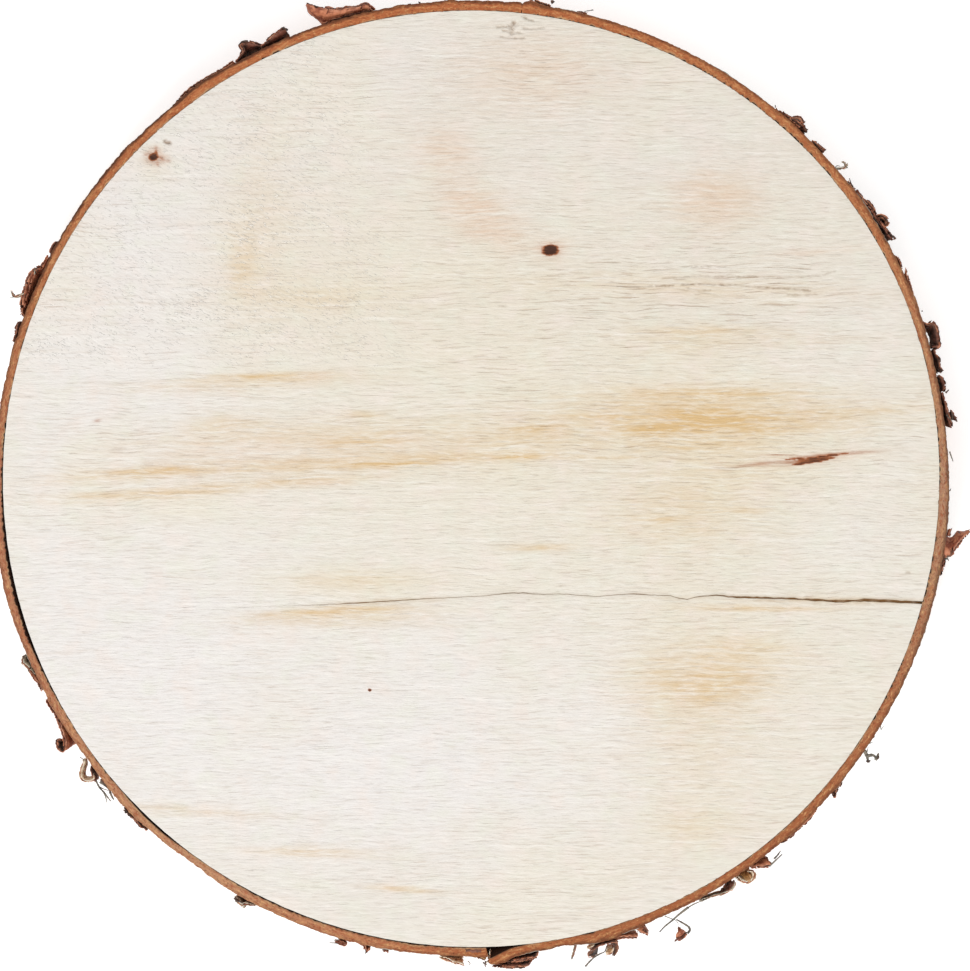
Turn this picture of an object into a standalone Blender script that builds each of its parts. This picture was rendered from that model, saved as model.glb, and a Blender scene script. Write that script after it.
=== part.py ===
"""A slice sawn across a birch log: the wood, its ring of bark in two lengths, and the strips that peel off the bark.

Metres, +Z up. The slice lies on its lower sawn face, and the origin is the middle of that face. Angles are in
degrees, counter-clockwise from +X as seen from above.
"""

import math

import bmesh
import bpy

# Driving dimensions.
THICKNESS = 0.025  # between the two sawn faces
WOOD_RADIUS = 0.147
BARK_RADIUS = 0.150  # mean outside of the bark
BARK_SWELL = 0.0004  # the bark is thicker by this on the side below, and thinner opposite
SWELL_ANGLE = 45.0
CLEARANCE = 0.00033  # between any two pieces that touch
STEP_ANGLE = 2.0  # one facet of the round outlines
PEEL_THICKNESS = 0.0006

# The wood isn't quite round: (lobes, height, angle of the first lobe).
WOOD_LOBES = ((1, 0.00025, 50.0), (3, 0.00015, 50.0), (4, 0.00014, 30.0))

# Where the bark has shrunk away from the wood: (middle, half width, width of the gap).
BARK_GAPS = (
    (194.0, 15.0, 0.0008),
    (224.0, 6.0, 0.0003),
    (254.0, 14.0, 0.0002),
    (268.0, 7.0, 0.0011),
    (274.0, 9.0, 0.0032),
    (284.5, 3.0, 0.0005),
)

# The bark ring is broken at the top and at the bottom, which leaves two lengths: name, first and last angle.
BARK_LENGTHS = (("bark_left", 84.1, 270.7), ("bark_right", 272.4, 443.7))

# The drying check in the wood: a crack open at the bark on the +X side.
CHECK_TIP_X = -0.056
CHECK_CREST = (0.045, -0.0364)  # where its gentle arch is furthest up the face
CHECK_ARCH = 0.23  # fall from the crest, in metres per square metre
CHECK_WIDTH = 0.0012  # at the bark
CHECK_TIP_WIDTH = 0.0003
CHECK_THROUGH_X = 0.110  # it goes right through the slice beyond this
CHECK_TIP_DEPTH = 0.003
CHECK_STEPS = 10

# The strips of outer bark that have come away. A strip starts at its root and runs along the rim, by run: +1 is
# counter-clockwise. It rises from the rim at lift, and turns by curl more by its free end, most of it late if late
# is over 1. It reaches down from top to low. lean is how far its upper edge stands out beyond its lower edge, and
# stand how far out its root is. Degrees and millimetres.
PEELS = {
    "strip_east_low": dict(root=10.3, run=-1, length=10.5, lift=3, curl=10, late=2, top=24.0, low=13.0, lean=0.2),
    "curl_east_low": dict(root=8.4, run=-1, length=3.0, lift=52, curl=150, top=22.5, low=15.0, stand=2.2),
    "strip_east_mid": dict(root=15.4, run=-1, length=6.8, lift=4, curl=18, late=2, top=23.0, low=10.0, lean=0.4),
    "scroll_east": dict(root=19.2, run=-1, length=10.0, lift=62, curl=-120, top=24.0, low=8.0, lean=0.4),
    "sliver_east": dict(root=22.8, run=1, length=7.8, lift=6, curl=6, late=2, top=24.4, low=17.0),
    "strip_northeast": dict(root=38.2, run=-1, length=22.5, lift=0, curl=18, late=4, top=23.6, low=6.0, lean=0.2),
    "scroll_northeast": dict(root=33.4, run=-1, length=3.8, lift=20, curl=165, top=22.0, low=11.0, stand=2.1),
    "hook_northeast": dict(root=40.5, run=-1, length=4.6, lift=80, curl=150, late=3, top=23.5, low=20.0),
    "flake_northeast": dict(root=44.7, run=-1, length=5.0, lift=6, curl=10, top=22.5, low=12.0, lean=0.2),
    "flake_northeast_low": dict(root=50.4, run=-1, length=11.5, lift=3, curl=10, late=2, top=24.0, low=9.0),
    "flake_northeast_high": dict(root=50.0, run=-1, length=8.5, lift=10, curl=8, top=22.0, low=14.0, stand=1.9),
    "layer_north": dict(root=80.6, run=1, length=6.2, lift=6, curl=14, late=2, top=24.6, low=3.0),
    "leaf_north": dict(root=102.2, run=1, length=19.0, lift=2, curl=30, late=3, top=24.4, low=9.0, lean=4.0),
    "strip_northwest": dict(root=116.0, run=-1, length=10.0, lift=6, curl=16, late=2, top=23.8, low=12.0, lean=1.0),
    "leaf_northwest": dict(root=119.0, run=-1, length=8.5, lift=22, curl=16, top=22.0, low=13.0),
    "layer_northwest": dict(root=128.5, run=-1, length=20.5, lift=1, curl=2, late=2, top=24.2, low=2.0),
    "scroll_west": dict(root=159.8, run=-1, length=16.5, lift=3, curl=16, late=2, top=23.8, low=7.0, lean=0.6),
    "hook_west": dict(root=158.6, run=-1, length=4.4, lift=78, curl=-60, late=2, top=23.0, low=17.0, stand=2.2),
    "flake_southwest": dict(root=204.2, run=-1, length=6.5, lift=6, curl=16, late=2, top=23.5, low=11.0, lean=0.5),
    "curl_southwest": dict(root=207.4, run=1, length=18.5, lift=2, curl=160, late=7, top=24.0, low=8.0, lean=0.4),
    "loop_southwest": dict(root=216.0, run=1, length=12.5, lift=98, curl=-184, top=22.5, low=15.0),
    "flake_south_southwest": dict(root=243.2, run=-1, length=6.5, lift=8, curl=16, top=23.0, low=10.0, lean=0.6),
    "flake_south": dict(root=266.2, run=1, length=7.2, lift=4, curl=4, late=2, top=23.5, low=9.0, lean=0.4),
    "sheet_south_inner": dict(root=278.4, run=-1, length=13.0, lift=0, curl=3, late=2, top=24.4, low=2.0),
    "sheet_south_outer": dict(root=277.6, run=-1, length=12.5, lift=2, curl=4, late=2, top=22.5, low=7.0, stand=1.8),
    "layer_south_southeast": dict(root=285.2, run=1, length=13.0, lift=4, curl=12, late=2, top=24.6, low=4.0),
    "scroll_south_southeast": dict(root=283.0, run=1, length=14.0, lift=104, curl=-178, top=23.0, low=12.0),
    "strip_southeast": dict(root=297.8, run=1, length=14.0, lift=4, curl=10, late=3, top=24.0, low=13.0, lean=0.4),
    "loop_southeast": dict(root=304.2, run=1, length=10.5, lift=106, curl=-192, top=22.5, low=14.0),
    "flake_southeast": dict(root=307.4, run=1, length=7.0, lift=24, curl=-16, top=24.0, low=12.0, lean=0.6),
    "flake_east_southeast": dict(root=321.2, run=-1, length=6.2, lift=4, curl=14, late=2, top=23.5, low=12.0),
    "leaf_east": dict(root=348.4, run=1, length=16.5, lift=10, curl=22, top=24.0, low=7.0, lean=0.4),
}
PEEL_STEPS = 12  # along a strip
PEEL_ROWS = 2  # down a strip

MM = 0.001


def polar(angle, radius):
    """The point on the ground plan at this angle and radius."""
    turn = math.radians(angle)
    return radius * math.cos(turn), radius * math.sin(turn)


def bump(angle, middle, half_width):
    """A smooth hump: 1 at the middle, and 0 from half_width away on."""
    away = (angle - middle + 180.0) % 360.0 - 180.0
    if abs(away) >= half_width:
        return 0.0
    return 0.5 + 0.5 * math.cos(math.pi * away / half_width)


def wood_radius(angle):
    lobes = (height * math.cos(math.radians(count * (angle - first))) for count, height, first in WOOD_LOBES)
    return WOOD_RADIUS + sum(lobes)


def gap(angle):
    """How far the bark stands off the wood, beyond the clearance."""
    return max(width * bump(angle, middle, half) for middle, half, width in BARK_GAPS)


def bark_inner(angle):
    return wood_radius(angle) + CLEARANCE + gap(angle)


def bark_outer(angle):
    swell = BARK_SWELL * math.cos(math.radians(angle - SWELL_ANGLE))
    return BARK_RADIUS + swell + 0.8 * gap(angle)


def angles_between(first, last):
    """Angles a facet apart, or a little less, from first to last."""
    count = math.ceil((last - first) / STEP_ANGLE)
    return [first + (last - first) * i / count for i in range(count + 1)]


def finish_of(name, colour, roughness):
    """A Principled material of one colour."""
    material = bpy.data.materials.new(name)
    material.use_nodes = True
    shader = material.node_tree.nodes["Principled BSDF"]
    shader.inputs["Base Color"].default_value = (*colour, 1.0)
    shader.inputs["Roughness"].default_value = roughness
    shader.inputs["Metallic"].default_value = 0.0
    return material


def object_from(name, shape, material):
    """Turns a bmesh into an object of the scene with this material."""
    bmesh.ops.recalc_face_normals(shape, faces=shape.faces)
    mesh = bpy.data.meshes.new(name)
    shape.to_mesh(mesh)
    shape.free()
    mesh.materials.append(material)
    obj = bpy.data.objects.new(name, mesh)
    bpy.context.scene.collection.objects.link(obj)
    return obj


def extruded(name, outline, bottom, top, material):
    """A prism with this ground plan."""
    shape = bmesh.new()
    floor = shape.faces.new([shape.verts.new((x, y, bottom)) for x, y in outline])
    raised = bmesh.ops.extrude_face_region(shape, geom=[floor])["geom"]
    corners = [item for item in raised if isinstance(item, bmesh.types.BMVert)]
    bmesh.ops.translate(shape, verts=corners, vec=(0.0, 0.0, top - bottom))
    return object_from(name, shape, material)


def check_cutter(material):
    """The space of the drying check: a wedge that narrows, and grows shallower, from the bark to its tip."""
    open_x = WOOD_RADIUS + 0.01
    shape = bmesh.new()
    sections = []
    for i in range(CHECK_STEPS + 1):
        x = CHECK_TIP_X + (open_x - CHECK_TIP_X) * i / CHECK_STEPS
        crest_x, crest_y = CHECK_CREST
        y = crest_y - CHECK_ARCH * (x - crest_x) ** 2
        share = (x - CHECK_TIP_X) / (WOOD_RADIUS - CHECK_TIP_X)
        half = 0.5 * (CHECK_TIP_WIDTH + (CHECK_WIDTH - CHECK_TIP_WIDTH) * share)
        depth_share = min(1.0, (x - CHECK_TIP_X) / (CHECK_THROUGH_X - CHECK_TIP_X))
        bottom = THICKNESS - CHECK_TIP_DEPTH - (THICKNESS - CHECK_TIP_DEPTH + 0.002) * depth_share
        top = THICKNESS + 0.002
        corners = ((y - half, bottom), (y + half, bottom), (y + half, top), (y - half, top))
        sections.append([shape.verts.new((x, side, height)) for side, height in corners])
    for near, far in zip(sections, sections[1:]):
        for i in range(4):
            shape.faces.new((near[i], near[(i + 1) % 4], far[(i + 1) % 4], far[i]))
    shape.faces.new(sections[0])
    shape.faces.new(reversed(sections[-1]))
    cutter = object_from("check_cutter", shape, material)
    cutter.hide_render = True
    cutter.display_type = "WIRE"
    return cutter


def make_wood(material):
    """The wood, round apart from its drying check."""
    outline = [polar(angle, wood_radius(angle)) for angle in angles_between(0.0, 360.0)[:-1]]
    wood = extruded("wood_disc", outline, 0.0, THICKNESS, material)
    cut = wood.modifiers.new("drying_check", "BOOLEAN")
    cut.operation = "DIFFERENCE"
    cut.solver = "EXACT"
    cut.object = check_cutter(material)
    return wood


def make_bark(name, first, last, material):
    """One length of the bark ring."""
    angles = angles_between(first, last)
    outside = [polar(angle, bark_outer(angle)) for angle in angles]
    inside = [polar(angle, bark_inner(angle)) for angle in angles]
    return extruded(name, outside + inside[::-1], 0.0, THICKNESS, material)


def peel_line(root, run, length, lift, curl, late, stand):
    """(angle, height off the bark) at steps along a strip, which turns as it goes."""
    along, height = 0.0, stand
    step = length / PEEL_STEPS
    points = []
    for i in range(PEEL_STEPS + 1):
        points.append((root + run * math.degrees(along / BARK_RADIUS), height))
        share = (i + 0.5) / PEEL_STEPS
        heading = math.radians(lift + curl * share**late)
        along += step * math.cos(heading)
        height += step * math.sin(heading)
    return points


def make_peel(name, material, root, run, length, lift, curl, top, low, late=1, lean=0.0, stand=0.7):
    """One strip of peeling bark, a sheet thickened to PEEL_THICKNESS."""
    shape = bmesh.new()
    rows = []
    for angle, height in peel_line(root, run, length * MM, lift, curl, late, stand * MM):
        column = []
        for row in range(PEEL_ROWS + 1):
            down = row / PEEL_ROWS
            radius = bark_outer(angle) + height + lean * MM * (1.0 - down)
            column.append(shape.verts.new((*polar(angle, radius), (top + (low - top) * down) * MM)))
        rows.append(column)
    for near, far in zip(rows, rows[1:]):
        for row in range(PEEL_ROWS):
            shape.faces.new((near[row], near[row + 1], far[row + 1], far[row]))
    peel = object_from(name, shape, material)
    thicken = peel.modifiers.new("thickness", "SOLIDIFY")
    thicken.thickness = PEEL_THICKNESS
    thicken.offset = 0.0
    peel.data.shade_smooth()
    return peel


def main():
    for obj in list(bpy.data.objects):
        bpy.data.objects.remove(obj)
    make_wood(finish_of("sawn_wood", (0.83, 0.79, 0.71), 0.75))
    bark = finish_of("bark_edge", (0.47, 0.19, 0.08), 0.8)
    for name, first, last in BARK_LENGTHS:
        make_bark(name, first, last, bark)
    peeling = finish_of("peeling_bark", (0.22, 0.10, 0.06), 0.7)
    for name, form in PEELS.items():
        make_peel(name, peeling, **form)


main()
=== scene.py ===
import math
import random

import bmesh
import bpy
import numpy as np
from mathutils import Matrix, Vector, geometry, noise


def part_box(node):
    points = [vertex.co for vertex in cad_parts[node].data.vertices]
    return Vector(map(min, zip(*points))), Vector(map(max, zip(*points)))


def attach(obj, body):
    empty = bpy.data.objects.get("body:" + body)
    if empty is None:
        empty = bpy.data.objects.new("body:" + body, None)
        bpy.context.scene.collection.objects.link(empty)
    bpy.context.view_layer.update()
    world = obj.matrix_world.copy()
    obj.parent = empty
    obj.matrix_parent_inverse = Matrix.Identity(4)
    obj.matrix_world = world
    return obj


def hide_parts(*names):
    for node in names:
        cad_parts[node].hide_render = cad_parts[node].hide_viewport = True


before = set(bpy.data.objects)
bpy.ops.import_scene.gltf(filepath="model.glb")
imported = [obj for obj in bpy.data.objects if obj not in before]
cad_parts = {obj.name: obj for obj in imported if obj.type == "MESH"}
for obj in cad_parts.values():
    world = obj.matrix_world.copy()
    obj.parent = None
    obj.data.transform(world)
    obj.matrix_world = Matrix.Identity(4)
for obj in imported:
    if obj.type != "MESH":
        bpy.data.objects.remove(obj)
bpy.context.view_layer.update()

random.seed(31)

# Sizes in the tables below are in millimetres, and angles in degrees counter-clockwise from +X, seen from
# above. The meshes are in metres.
mm = 0.001


def hum(x, y, z=0.0):
    return noise.noise(Vector((x, y, z)))


def along(table, at):
    return float(np.interp(at, [row[0] for row in table], [row[1] for row in table]))


def aroundRim(table, angle, column=1):
    # the same, for a table of angles that closes on itself
    return float(np.interp(angle, [row[0] for row in table], [row[column] for row in table], period=360.0))


def smoothStep(low, high, value):
    t = min(1.0, max(0.0, (value - low) / (high - low)))
    return t * t * (3.0 - 2.0 * t)


def addPiece(name, mesh, materials):
    for material in materials:
        mesh.materials.append(material)
    piece = bpy.data.objects.new(name, mesh)
    bpy.context.scene.collection.objects.link(piece)
    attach(piece, "root")
    return piece


def setValues(mesh, name, values, kind="FLOAT"):
    layer = mesh.attributes.new(name, kind, "POINT")
    flat = np.asarray(values, dtype=np.float32).ravel()
    layer.data.foreach_set({"FLOAT": "value", "FLOAT_VECTOR": "vector", "FLOAT_COLOR": "color"}[kind], flat)


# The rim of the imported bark: its outer radius by angle.
rimCorners = {}
for node in ("bark_left", "bark_right"):
    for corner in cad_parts[node].data.vertices:
        angle = round(math.degrees(math.atan2(corner.co.y, corner.co.x)), 1) % 360.0
        rimCorners.setdefault(angle, []).append(math.hypot(corner.co.x, corner.co.y) / mm)
rimAngles = sorted(angle for angle, radii in rimCorners.items() if max(radii) - min(radii) > 1.0)
rimOutside = [(angle, max(rimCorners[angle])) for angle in rimAngles]

_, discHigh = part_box("wood_disc")
topFace = discHigh.z / mm
woodCorners = {}
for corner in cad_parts["wood_disc"].data.vertices:
    radius = math.hypot(corner.co.x, corner.co.y) / mm
    if radius > 0.99 * discHigh.x / mm:
        woodCorners[math.degrees(math.atan2(corner.co.y, corner.co.x)) % 360.0] = radius
woodEdge = sorted(woodCorners.items())


def planPoint(angle, out, z=0.0):
    # a point this far outside the bark
    turn = math.radians(angle)
    radius = aroundRim(rimOutside, angle) + out
    return Vector((radius * math.cos(turn), radius * math.sin(turn), z))


print("frame read: top face at %.1f mm, %d rim angles" % (topFace, len(rimAngles)))


def addNode(tree, kind, feed=None, **settings):
    made = tree.nodes.new(kind)
    for key, value in settings.items():
        setattr(made, key, value)
    for socket, value in (feed or {}).items():
        if isinstance(value, bpy.types.NodeSocket):
            tree.links.new(value, made.inputs[socket])
        else:
            made.inputs[socket].default_value = value
    return made


def maths(tree, operation, first, second=0.0):
    return addNode(tree, "ShaderNodeMath", {0: first, 1: second}, operation=operation).outputs[0]


def remap(tree, value, low, high, toLow=0.0, toHigh=1.0, kind="SMOOTHSTEP"):
    feed = {"Value": value, "From Min": low, "From Max": high, "To Min": toLow, "To Max": toHigh}
    return addNode(tree, "ShaderNodeMapRange", feed, interpolation_type=kind).outputs[0]


def mixColour(tree, factor, first, second):
    feed = {0: factor, 6: first, 7: second}
    return addNode(tree, "ShaderNodeMix", feed, data_type="RGBA", clamp_factor=True).outputs[2]


def stored(tree, name):
    return addNode(tree, "ShaderNodeAttribute", attribute_type="GEOMETRY", attribute_name=name)


def storedValue(tree, name):
    return stored(tree, name).outputs["Fac"]


def newGroup(name, inputs, outputs):
    tree = bpy.data.node_groups.new(name, "ShaderNodeTree")
    for label, value in inputs.items():
        kind = "NodeSocketVector" if label == "Vector" else "NodeSocketFloat"
        socket = tree.interface.new_socket(name=label, in_out="INPUT", socket_type=kind)
        if value is not None:
            socket.default_value = value
    for label in outputs:
        tree.interface.new_socket(name=label, in_out="OUTPUT", socket_type="NodeSocketFloat")
    return tree, tree.nodes.new("NodeGroupInput").outputs, tree.nodes.new("NodeGroupOutput").inputs


def noiseTexture(tree, place, scale, detail, roughness=0.5):
    feed = {"Vector": place, "Scale": scale, "Detail": detail, "Roughness": roughness}
    return addNode(tree, "ShaderNodeTexNoise", feed).outputs[0]


def useGroup(tree, group, feed):
    return addNode(tree, "ShaderNodeGroup", feed, node_tree=group).outputs


def buildFibreGroup():
    # long wavy fibres along X, and the short dark pores between them
    inputs = {"Vector": None, "Length": 0.01, "Width": 0.0006, "Waviness": 0.5, "Seed": 0.0}
    tree, given, result = newGroup("woodFibres", inputs, ("Fibre", "Pores", "Height"))
    parts = addNode(tree, "ShaderNodeSeparateXYZ", {0: given["Vector"]}).outputs
    sway = noiseTexture(tree, given["Vector"], 45.0, 2.0)
    shift = maths(tree, "SUBTRACT", sway, 0.5)
    shift = maths(tree, "MULTIPLY", shift, given["Waviness"])
    shift = maths(tree, "MULTIPLY", shift, 0.02)
    across = maths(tree, "ADD", parts[1], shift)
    x = maths(tree, "DIVIDE", parts[0], given["Length"])
    y = maths(tree, "DIVIDE", across, given["Width"])
    z = maths(tree, "ADD", maths(tree, "DIVIDE", parts[2], given["Width"]), given["Seed"])
    drawn = addNode(tree, "ShaderNodeCombineXYZ", {0: x, 1: y, 2: z}).outputs[0]
    fibre = noiseTexture(tree, drawn, 1.0, 3.0, 0.62)
    finer = addNode(tree, "ShaderNodeVectorMath", {0: drawn, 1: (2.3, 1.7, 1.7)}, operation="MULTIPLY")
    pores = remap(tree, noiseTexture(tree, finer.outputs[0], 1.0, 1.0, 0.4), 0.62, 0.74)
    height = maths(tree, "SUBTRACT", fibre, maths(tree, "MULTIPLY", pores, 0.35))
    for label, value in (("Fibre", fibre), ("Pores", pores), ("Height", height)):
        tree.links.new(value, result[label])
    return tree


def buildPaperGroup():
    # the papery skin of bark: soft mottling, fine streaks round the trunk, and flaking edges
    inputs = {"Vector": None, "Patch": 0.008, "Streak": 0.0012, "Seed": 0.0}
    tree, given, result = newGroup("paperySkin", inputs, ("Mottle", "Streaks", "Height"))
    parts = addNode(tree, "ShaderNodeSeparateXYZ", {0: given["Vector"]}).outputs
    moved = [maths(tree, "ADD", maths(tree, "DIVIDE", part, given["Patch"]), given["Seed"]) for part in parts]
    patch = addNode(tree, "ShaderNodeCombineXYZ", dict(enumerate(moved))).outputs[0]
    mottle = noiseTexture(tree, patch, 1.0, 5.0, 0.6)
    drawn = addNode(tree, "ShaderNodeCombineXYZ", {
        0: maths(tree, "DIVIDE", parts[0], maths(tree, "MULTIPLY", given["Streak"], 7.0)),
        1: maths(tree, "DIVIDE", parts[1], given["Streak"]),
        2: maths(tree, "ADD", maths(tree, "DIVIDE", parts[2], given["Streak"]), given["Seed"]),
    }).outputs[0]
    streaks = noiseTexture(tree, drawn, 1.0, 4.0, 0.7)
    flaking = remap(tree, mottle, 0.5, 0.56)
    height = maths(tree, "ADD", maths(tree, "MULTIPLY", flaking, 0.5), streaks)
    for label, value in (("Mottle", mottle), ("Streaks", streaks), ("Height", height)):
        tree.links.new(value, result[label])
    return tree


woodFibres = buildFibreGroup()
paperySkin = buildPaperGroup()


def newMaterial(name, roughness=0.5, specular=0.3):
    material = bpy.data.materials.new(name)
    material.use_nodes = True
    tree = material.node_tree
    shader = tree.nodes["Principled BSDF"]
    shader.inputs["Roughness"].default_value = roughness
    shader.inputs["Specular IOR Level"].default_value = specular
    return material, tree, shader


def tint(tree, colour, shade, value, low, high, most):
    # moves the colour towards a shade as the value goes from low to high
    return mixColour(tree, remap(tree, value, low, high, 0.0, most), colour, shade)


def addBump(tree, shader, height, distance, strength=1.0):
    feed = {"Height": height, "Distance": distance, "Strength": strength}
    tree.links.new(addNode(tree, "ShaderNodeBump", feed).outputs[0], shader.inputs["Normal"])


woodFinish = {
    "pale": (0.726, 0.678, 0.592, 1.0),
    "white": (0.756, 0.724, 0.704, 1.0),
    "yellow": (0.735, 0.668, 0.530, 1.0),
    "deeper": (0.685, 0.622, 0.545, 1.0),
    # bright and shade: paler and darker wood, also used as painted highlight and painted shade on the raised
    # fibres
    "bright": (0.900, 0.870, 0.815, 1.0),
    "shade": (0.50, 0.405, 0.300, 1.0),
    "pore": (0.40, 0.25, 0.15, 1.0),
    "rosy": (0.790, 0.690, 0.630, 1.0),
    "green": (0.715, 0.720, 0.610, 1.0),
    "tan": (0.650, 0.445, 0.215, 1.0),
    "pink": (0.70, 0.53, 0.405, 1.0),
    "red": (0.34, 0.105, 0.035, 1.0),
    "knot": (0.060, 0.020, 0.010, 1.0),
    # the brown of the cracks, which also serves as their painted shade
    "hollowColourAndShade": (0.20, 0.098, 0.030, 1.0),
    "roughness": (0.66, 0.82),
    "leaning": 0.38,
    # length and width of the fibres in metres, waviness and seed
    "fibres": {
        "fine": (0.0044, 0.00070, 0.12, 0.0),
        "tilted": (0.0032, 0.0009, 0.12, 2.0),
        "long": (0.026, 0.0011, 0.16, 7.0),
        "thread": (0.0150, 0.00075, 0.14, 3.0),
        "seam": (0.0340, 0.00095, 0.16, 13.0),
    },
}


def buildWoodMaterial():
    look = woodFinish
    material, tree, shader = newMaterial("sawnBirch")
    place = addNode(tree, "ShaderNodeTexCoord").outputs["Object"]
    leaning = addNode(tree, "ShaderNodeVectorRotate", {"Vector": place, "Angle": look["leaning"]}).outputs[0]
    grain = {}
    for label, (length, width, waviness, seed) in look["fibres"].items():
        feed = {"Vector": leaning if label == "tilted" else place, "Length": length, "Width": width,
                "Waviness": waviness, "Seed": seed}
        grain[label] = useGroup(tree, woodFibres, feed)
    fine, tilted, long = grain["fine"]["Fibre"], grain["tilted"]["Fibre"], grain["long"]["Fibre"]
    slant = storedValue(tree, "slant")
    weave = maths(tree, "ADD", fine, maths(tree, "MULTIPLY", maths(tree, "SUBTRACT", tilted, fine), slant))
    cloud = noiseTexture(tree, place, 22.0, 3.0)
    hue = noiseTexture(tree, place, 130.0, 2.0)
    colour = mixColour(tree, storedValue(tree, "whiteness"), look["pale"], look["white"])
    colour = mixColour(tree, storedValue(tree, "yellowness"), colour, look["yellow"])
    deep = maths(tree, "MULTIPLY", storedValue(tree, "deepness"), 0.85)
    colour = mixColour(tree, deep, colour, look["deeper"])
    # faint clouds of yellower, rosier and greener wood
    for value, low, high, most, shade in (
            (cloud, 0.45, 0.75, 0.35, "yellow"), (hue, 0.50, 0.75, 0.40, "rosy"),
            (hue, 0.50, 0.25, 0.35, "green")):
        colour = tint(tree, colour, look[shade], value, low, high, most)
    # the stains follow the fibres, so each is broken up into streaks
    streak = maths(tree, "ADD", maths(tree, "MULTIPLY", long, 1.3), maths(tree, "MULTIPLY", weave, 0.9))
    broken = remap(tree, streak, 0.75, 1.45, 0.50, 1.85, "LINEAR")
    for label in ("tan", "pink"):
        amount = maths(tree, "MULTIPLY", storedValue(tree, label + "Stain"), broken)
        colour = mixColour(tree, amount, colour, look[label])
    # long faint bands, then the short raised fibres, whose relief is also painted into the colour as shade
    # and highlight
    for value, low, high, most, shade in (
            (long, 0.52, 0.80, 0.20, "shade"), (long, 0.48, 0.25, 0.25, "bright"),
            (weave, 0.50, 0.76, 0.18, "shade"), (weave, 0.50, 0.26, 0.24, "bright")):
        colour = tint(tree, colour, look[shade], value, low, high, most)
    # pale flecks where the fibres lie over: painted highlight on their raised edges
    flecks = maths(tree, "MULTIPLY", grain["tilted"]["Pores"], maths(tree, "MULTIPLY", slant, 0.5))
    colour = mixColour(tree, flecks, colour, look["bright"])
    # pores, faint in patches all over and stronger where the grain is open
    openGrain = storedValue(tree, "openGrain")
    patchy = remap(tree, cloud, 0.35, 0.70, 0.05, 0.20)
    pores = {}
    for label, most in (("thread", 0.26), ("seam", 0.45)):
        amount = maths(tree, "ADD", maths(tree, "MULTIPLY", openGrain, most), patchy)
        pores[label] = maths(tree, "MULTIPLY", grain[label]["Pores"], amount)
        colour = mixColour(tree, pores[label], colour, look["pore"])
    red = maths(tree, "MULTIPLY", storedValue(tree, "redStain"), remap(tree, streak, 0.7, 1.4, 0.6, 1.3))
    colour = mixColour(tree, red, colour, look["red"])
    knot = maths(tree, "ADD", storedValue(tree, "knot"), remap(tree, weave, 0.3, 0.7, -0.12, 0.12))
    colour = tint(tree, colour, look["red"], knot, 0.10, 0.58, 1.0)
    colour = tint(tree, colour, look["knot"], knot, 0.42, 0.95, 1.0)
    # the cracks: their brown colour together with painted shade
    colour = mixColour(tree, storedValue(tree, "hollowColourAndShade"), colour, look["hollowColourAndShade"])
    tree.links.new(colour, shader.inputs["Base Color"])
    tree.links.new(remap(tree, weave, 0.3, 0.7, *look["roughness"]), shader.inputs["Roughness"])
    height = maths(tree, "SUBTRACT", weave, maths(tree, "MULTIPLY", grain["thread"]["Pores"], 0.18))
    height = maths(tree, "SUBTRACT", height, maths(tree, "MULTIPLY", pores["seam"], 0.6))
    height = maths(tree, "ADD", height, maths(tree, "MULTIPLY", flecks, 1.2))
    addBump(tree, shader, height, 0.0004, 0.90)
    return material


barkFinish = {
    "cream": (0.66, 0.47, 0.27, 1.0),
    "dark": (0.075, 0.028, 0.014, 1.0),
    # near-black painted shade for the gap between bark and wood
    "gap": (0.050, 0.018, 0.009, 1.0),
    "fleck": (0.68, 0.38, 0.16, 1.0),
    "rust": (0.33, 0.085, 0.030, 1.0),
    "grey": (0.30, 0.27, 0.22, 1.0),
    "silver": (0.47, 0.43, 0.37, 1.0),
    "skinBrown": (0.17, 0.085, 0.05, 1.0),
    "inside": (0.36, 0.12, 0.055, 1.0),
    "insidePale": (0.55, 0.33, 0.19, 1.0),
}


def buildSawnBarkMaterial():
    look = barkFinish
    material, tree, shader = newMaterial("sawnBark", 0.8, 0.2)
    place = stored(tree, "barkPlace").outputs["Vector"]
    fine = useGroup(tree, woodFibres, {"Vector": place, "Length": 0.0013, "Width": 0.00060, "Waviness": 0.12})
    coarse = useGroup(tree, woodFibres, {"Vector": place, "Length": 0.0060, "Width": 0.0010, "Waviness": 0.3,
                                         "Seed": 5.0})
    colour = stored(tree, "barkTone").outputs["Color"]
    for fibre, low, high, most, shade in (
            (fine, 0.46, 0.70, 0.85, "rust"), (coarse, 0.50, 0.28, 0.35, "fleck"),
            (fine, 0.46, 0.26, 0.75, "fleck")):
        colour = tint(tree, colour, look[shade], fibre["Fibre"], low, high, most)
    colour = mixColour(tree, maths(tree, "MULTIPLY", fine["Pores"], 0.45), colour, look["dark"])
    # the pale line where the bark grew on the wood, and the dark outer skin
    wobble = remap(tree, coarse["Fibre"], 0.3, 0.7, -0.10, 0.10)
    wobble = maths(tree, "ADD", storedValue(tree, "across"), wobble)
    colour = tint(tree, colour, look["cream"], wobble, 0.14, 0.00, 0.45)
    edge = maths(tree, "MULTIPLY", remap(tree, wobble, 0.55, 0.92), storedValue(tree, "skinLine"))
    colour = mixColour(tree, edge, colour, look["dark"])
    # painted shade: the inner wall and inner rim darkened as if in the shadow of the gap
    colour = mixColour(tree, storedValue(tree, "hollowColourAndShade"), colour, look["gap"])
    tree.links.new(colour, shader.inputs["Base Color"])
    addBump(tree, shader, maths(tree, "ADD", fine["Height"], coarse["Height"]), 0.0004, 0.8)
    return material


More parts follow.
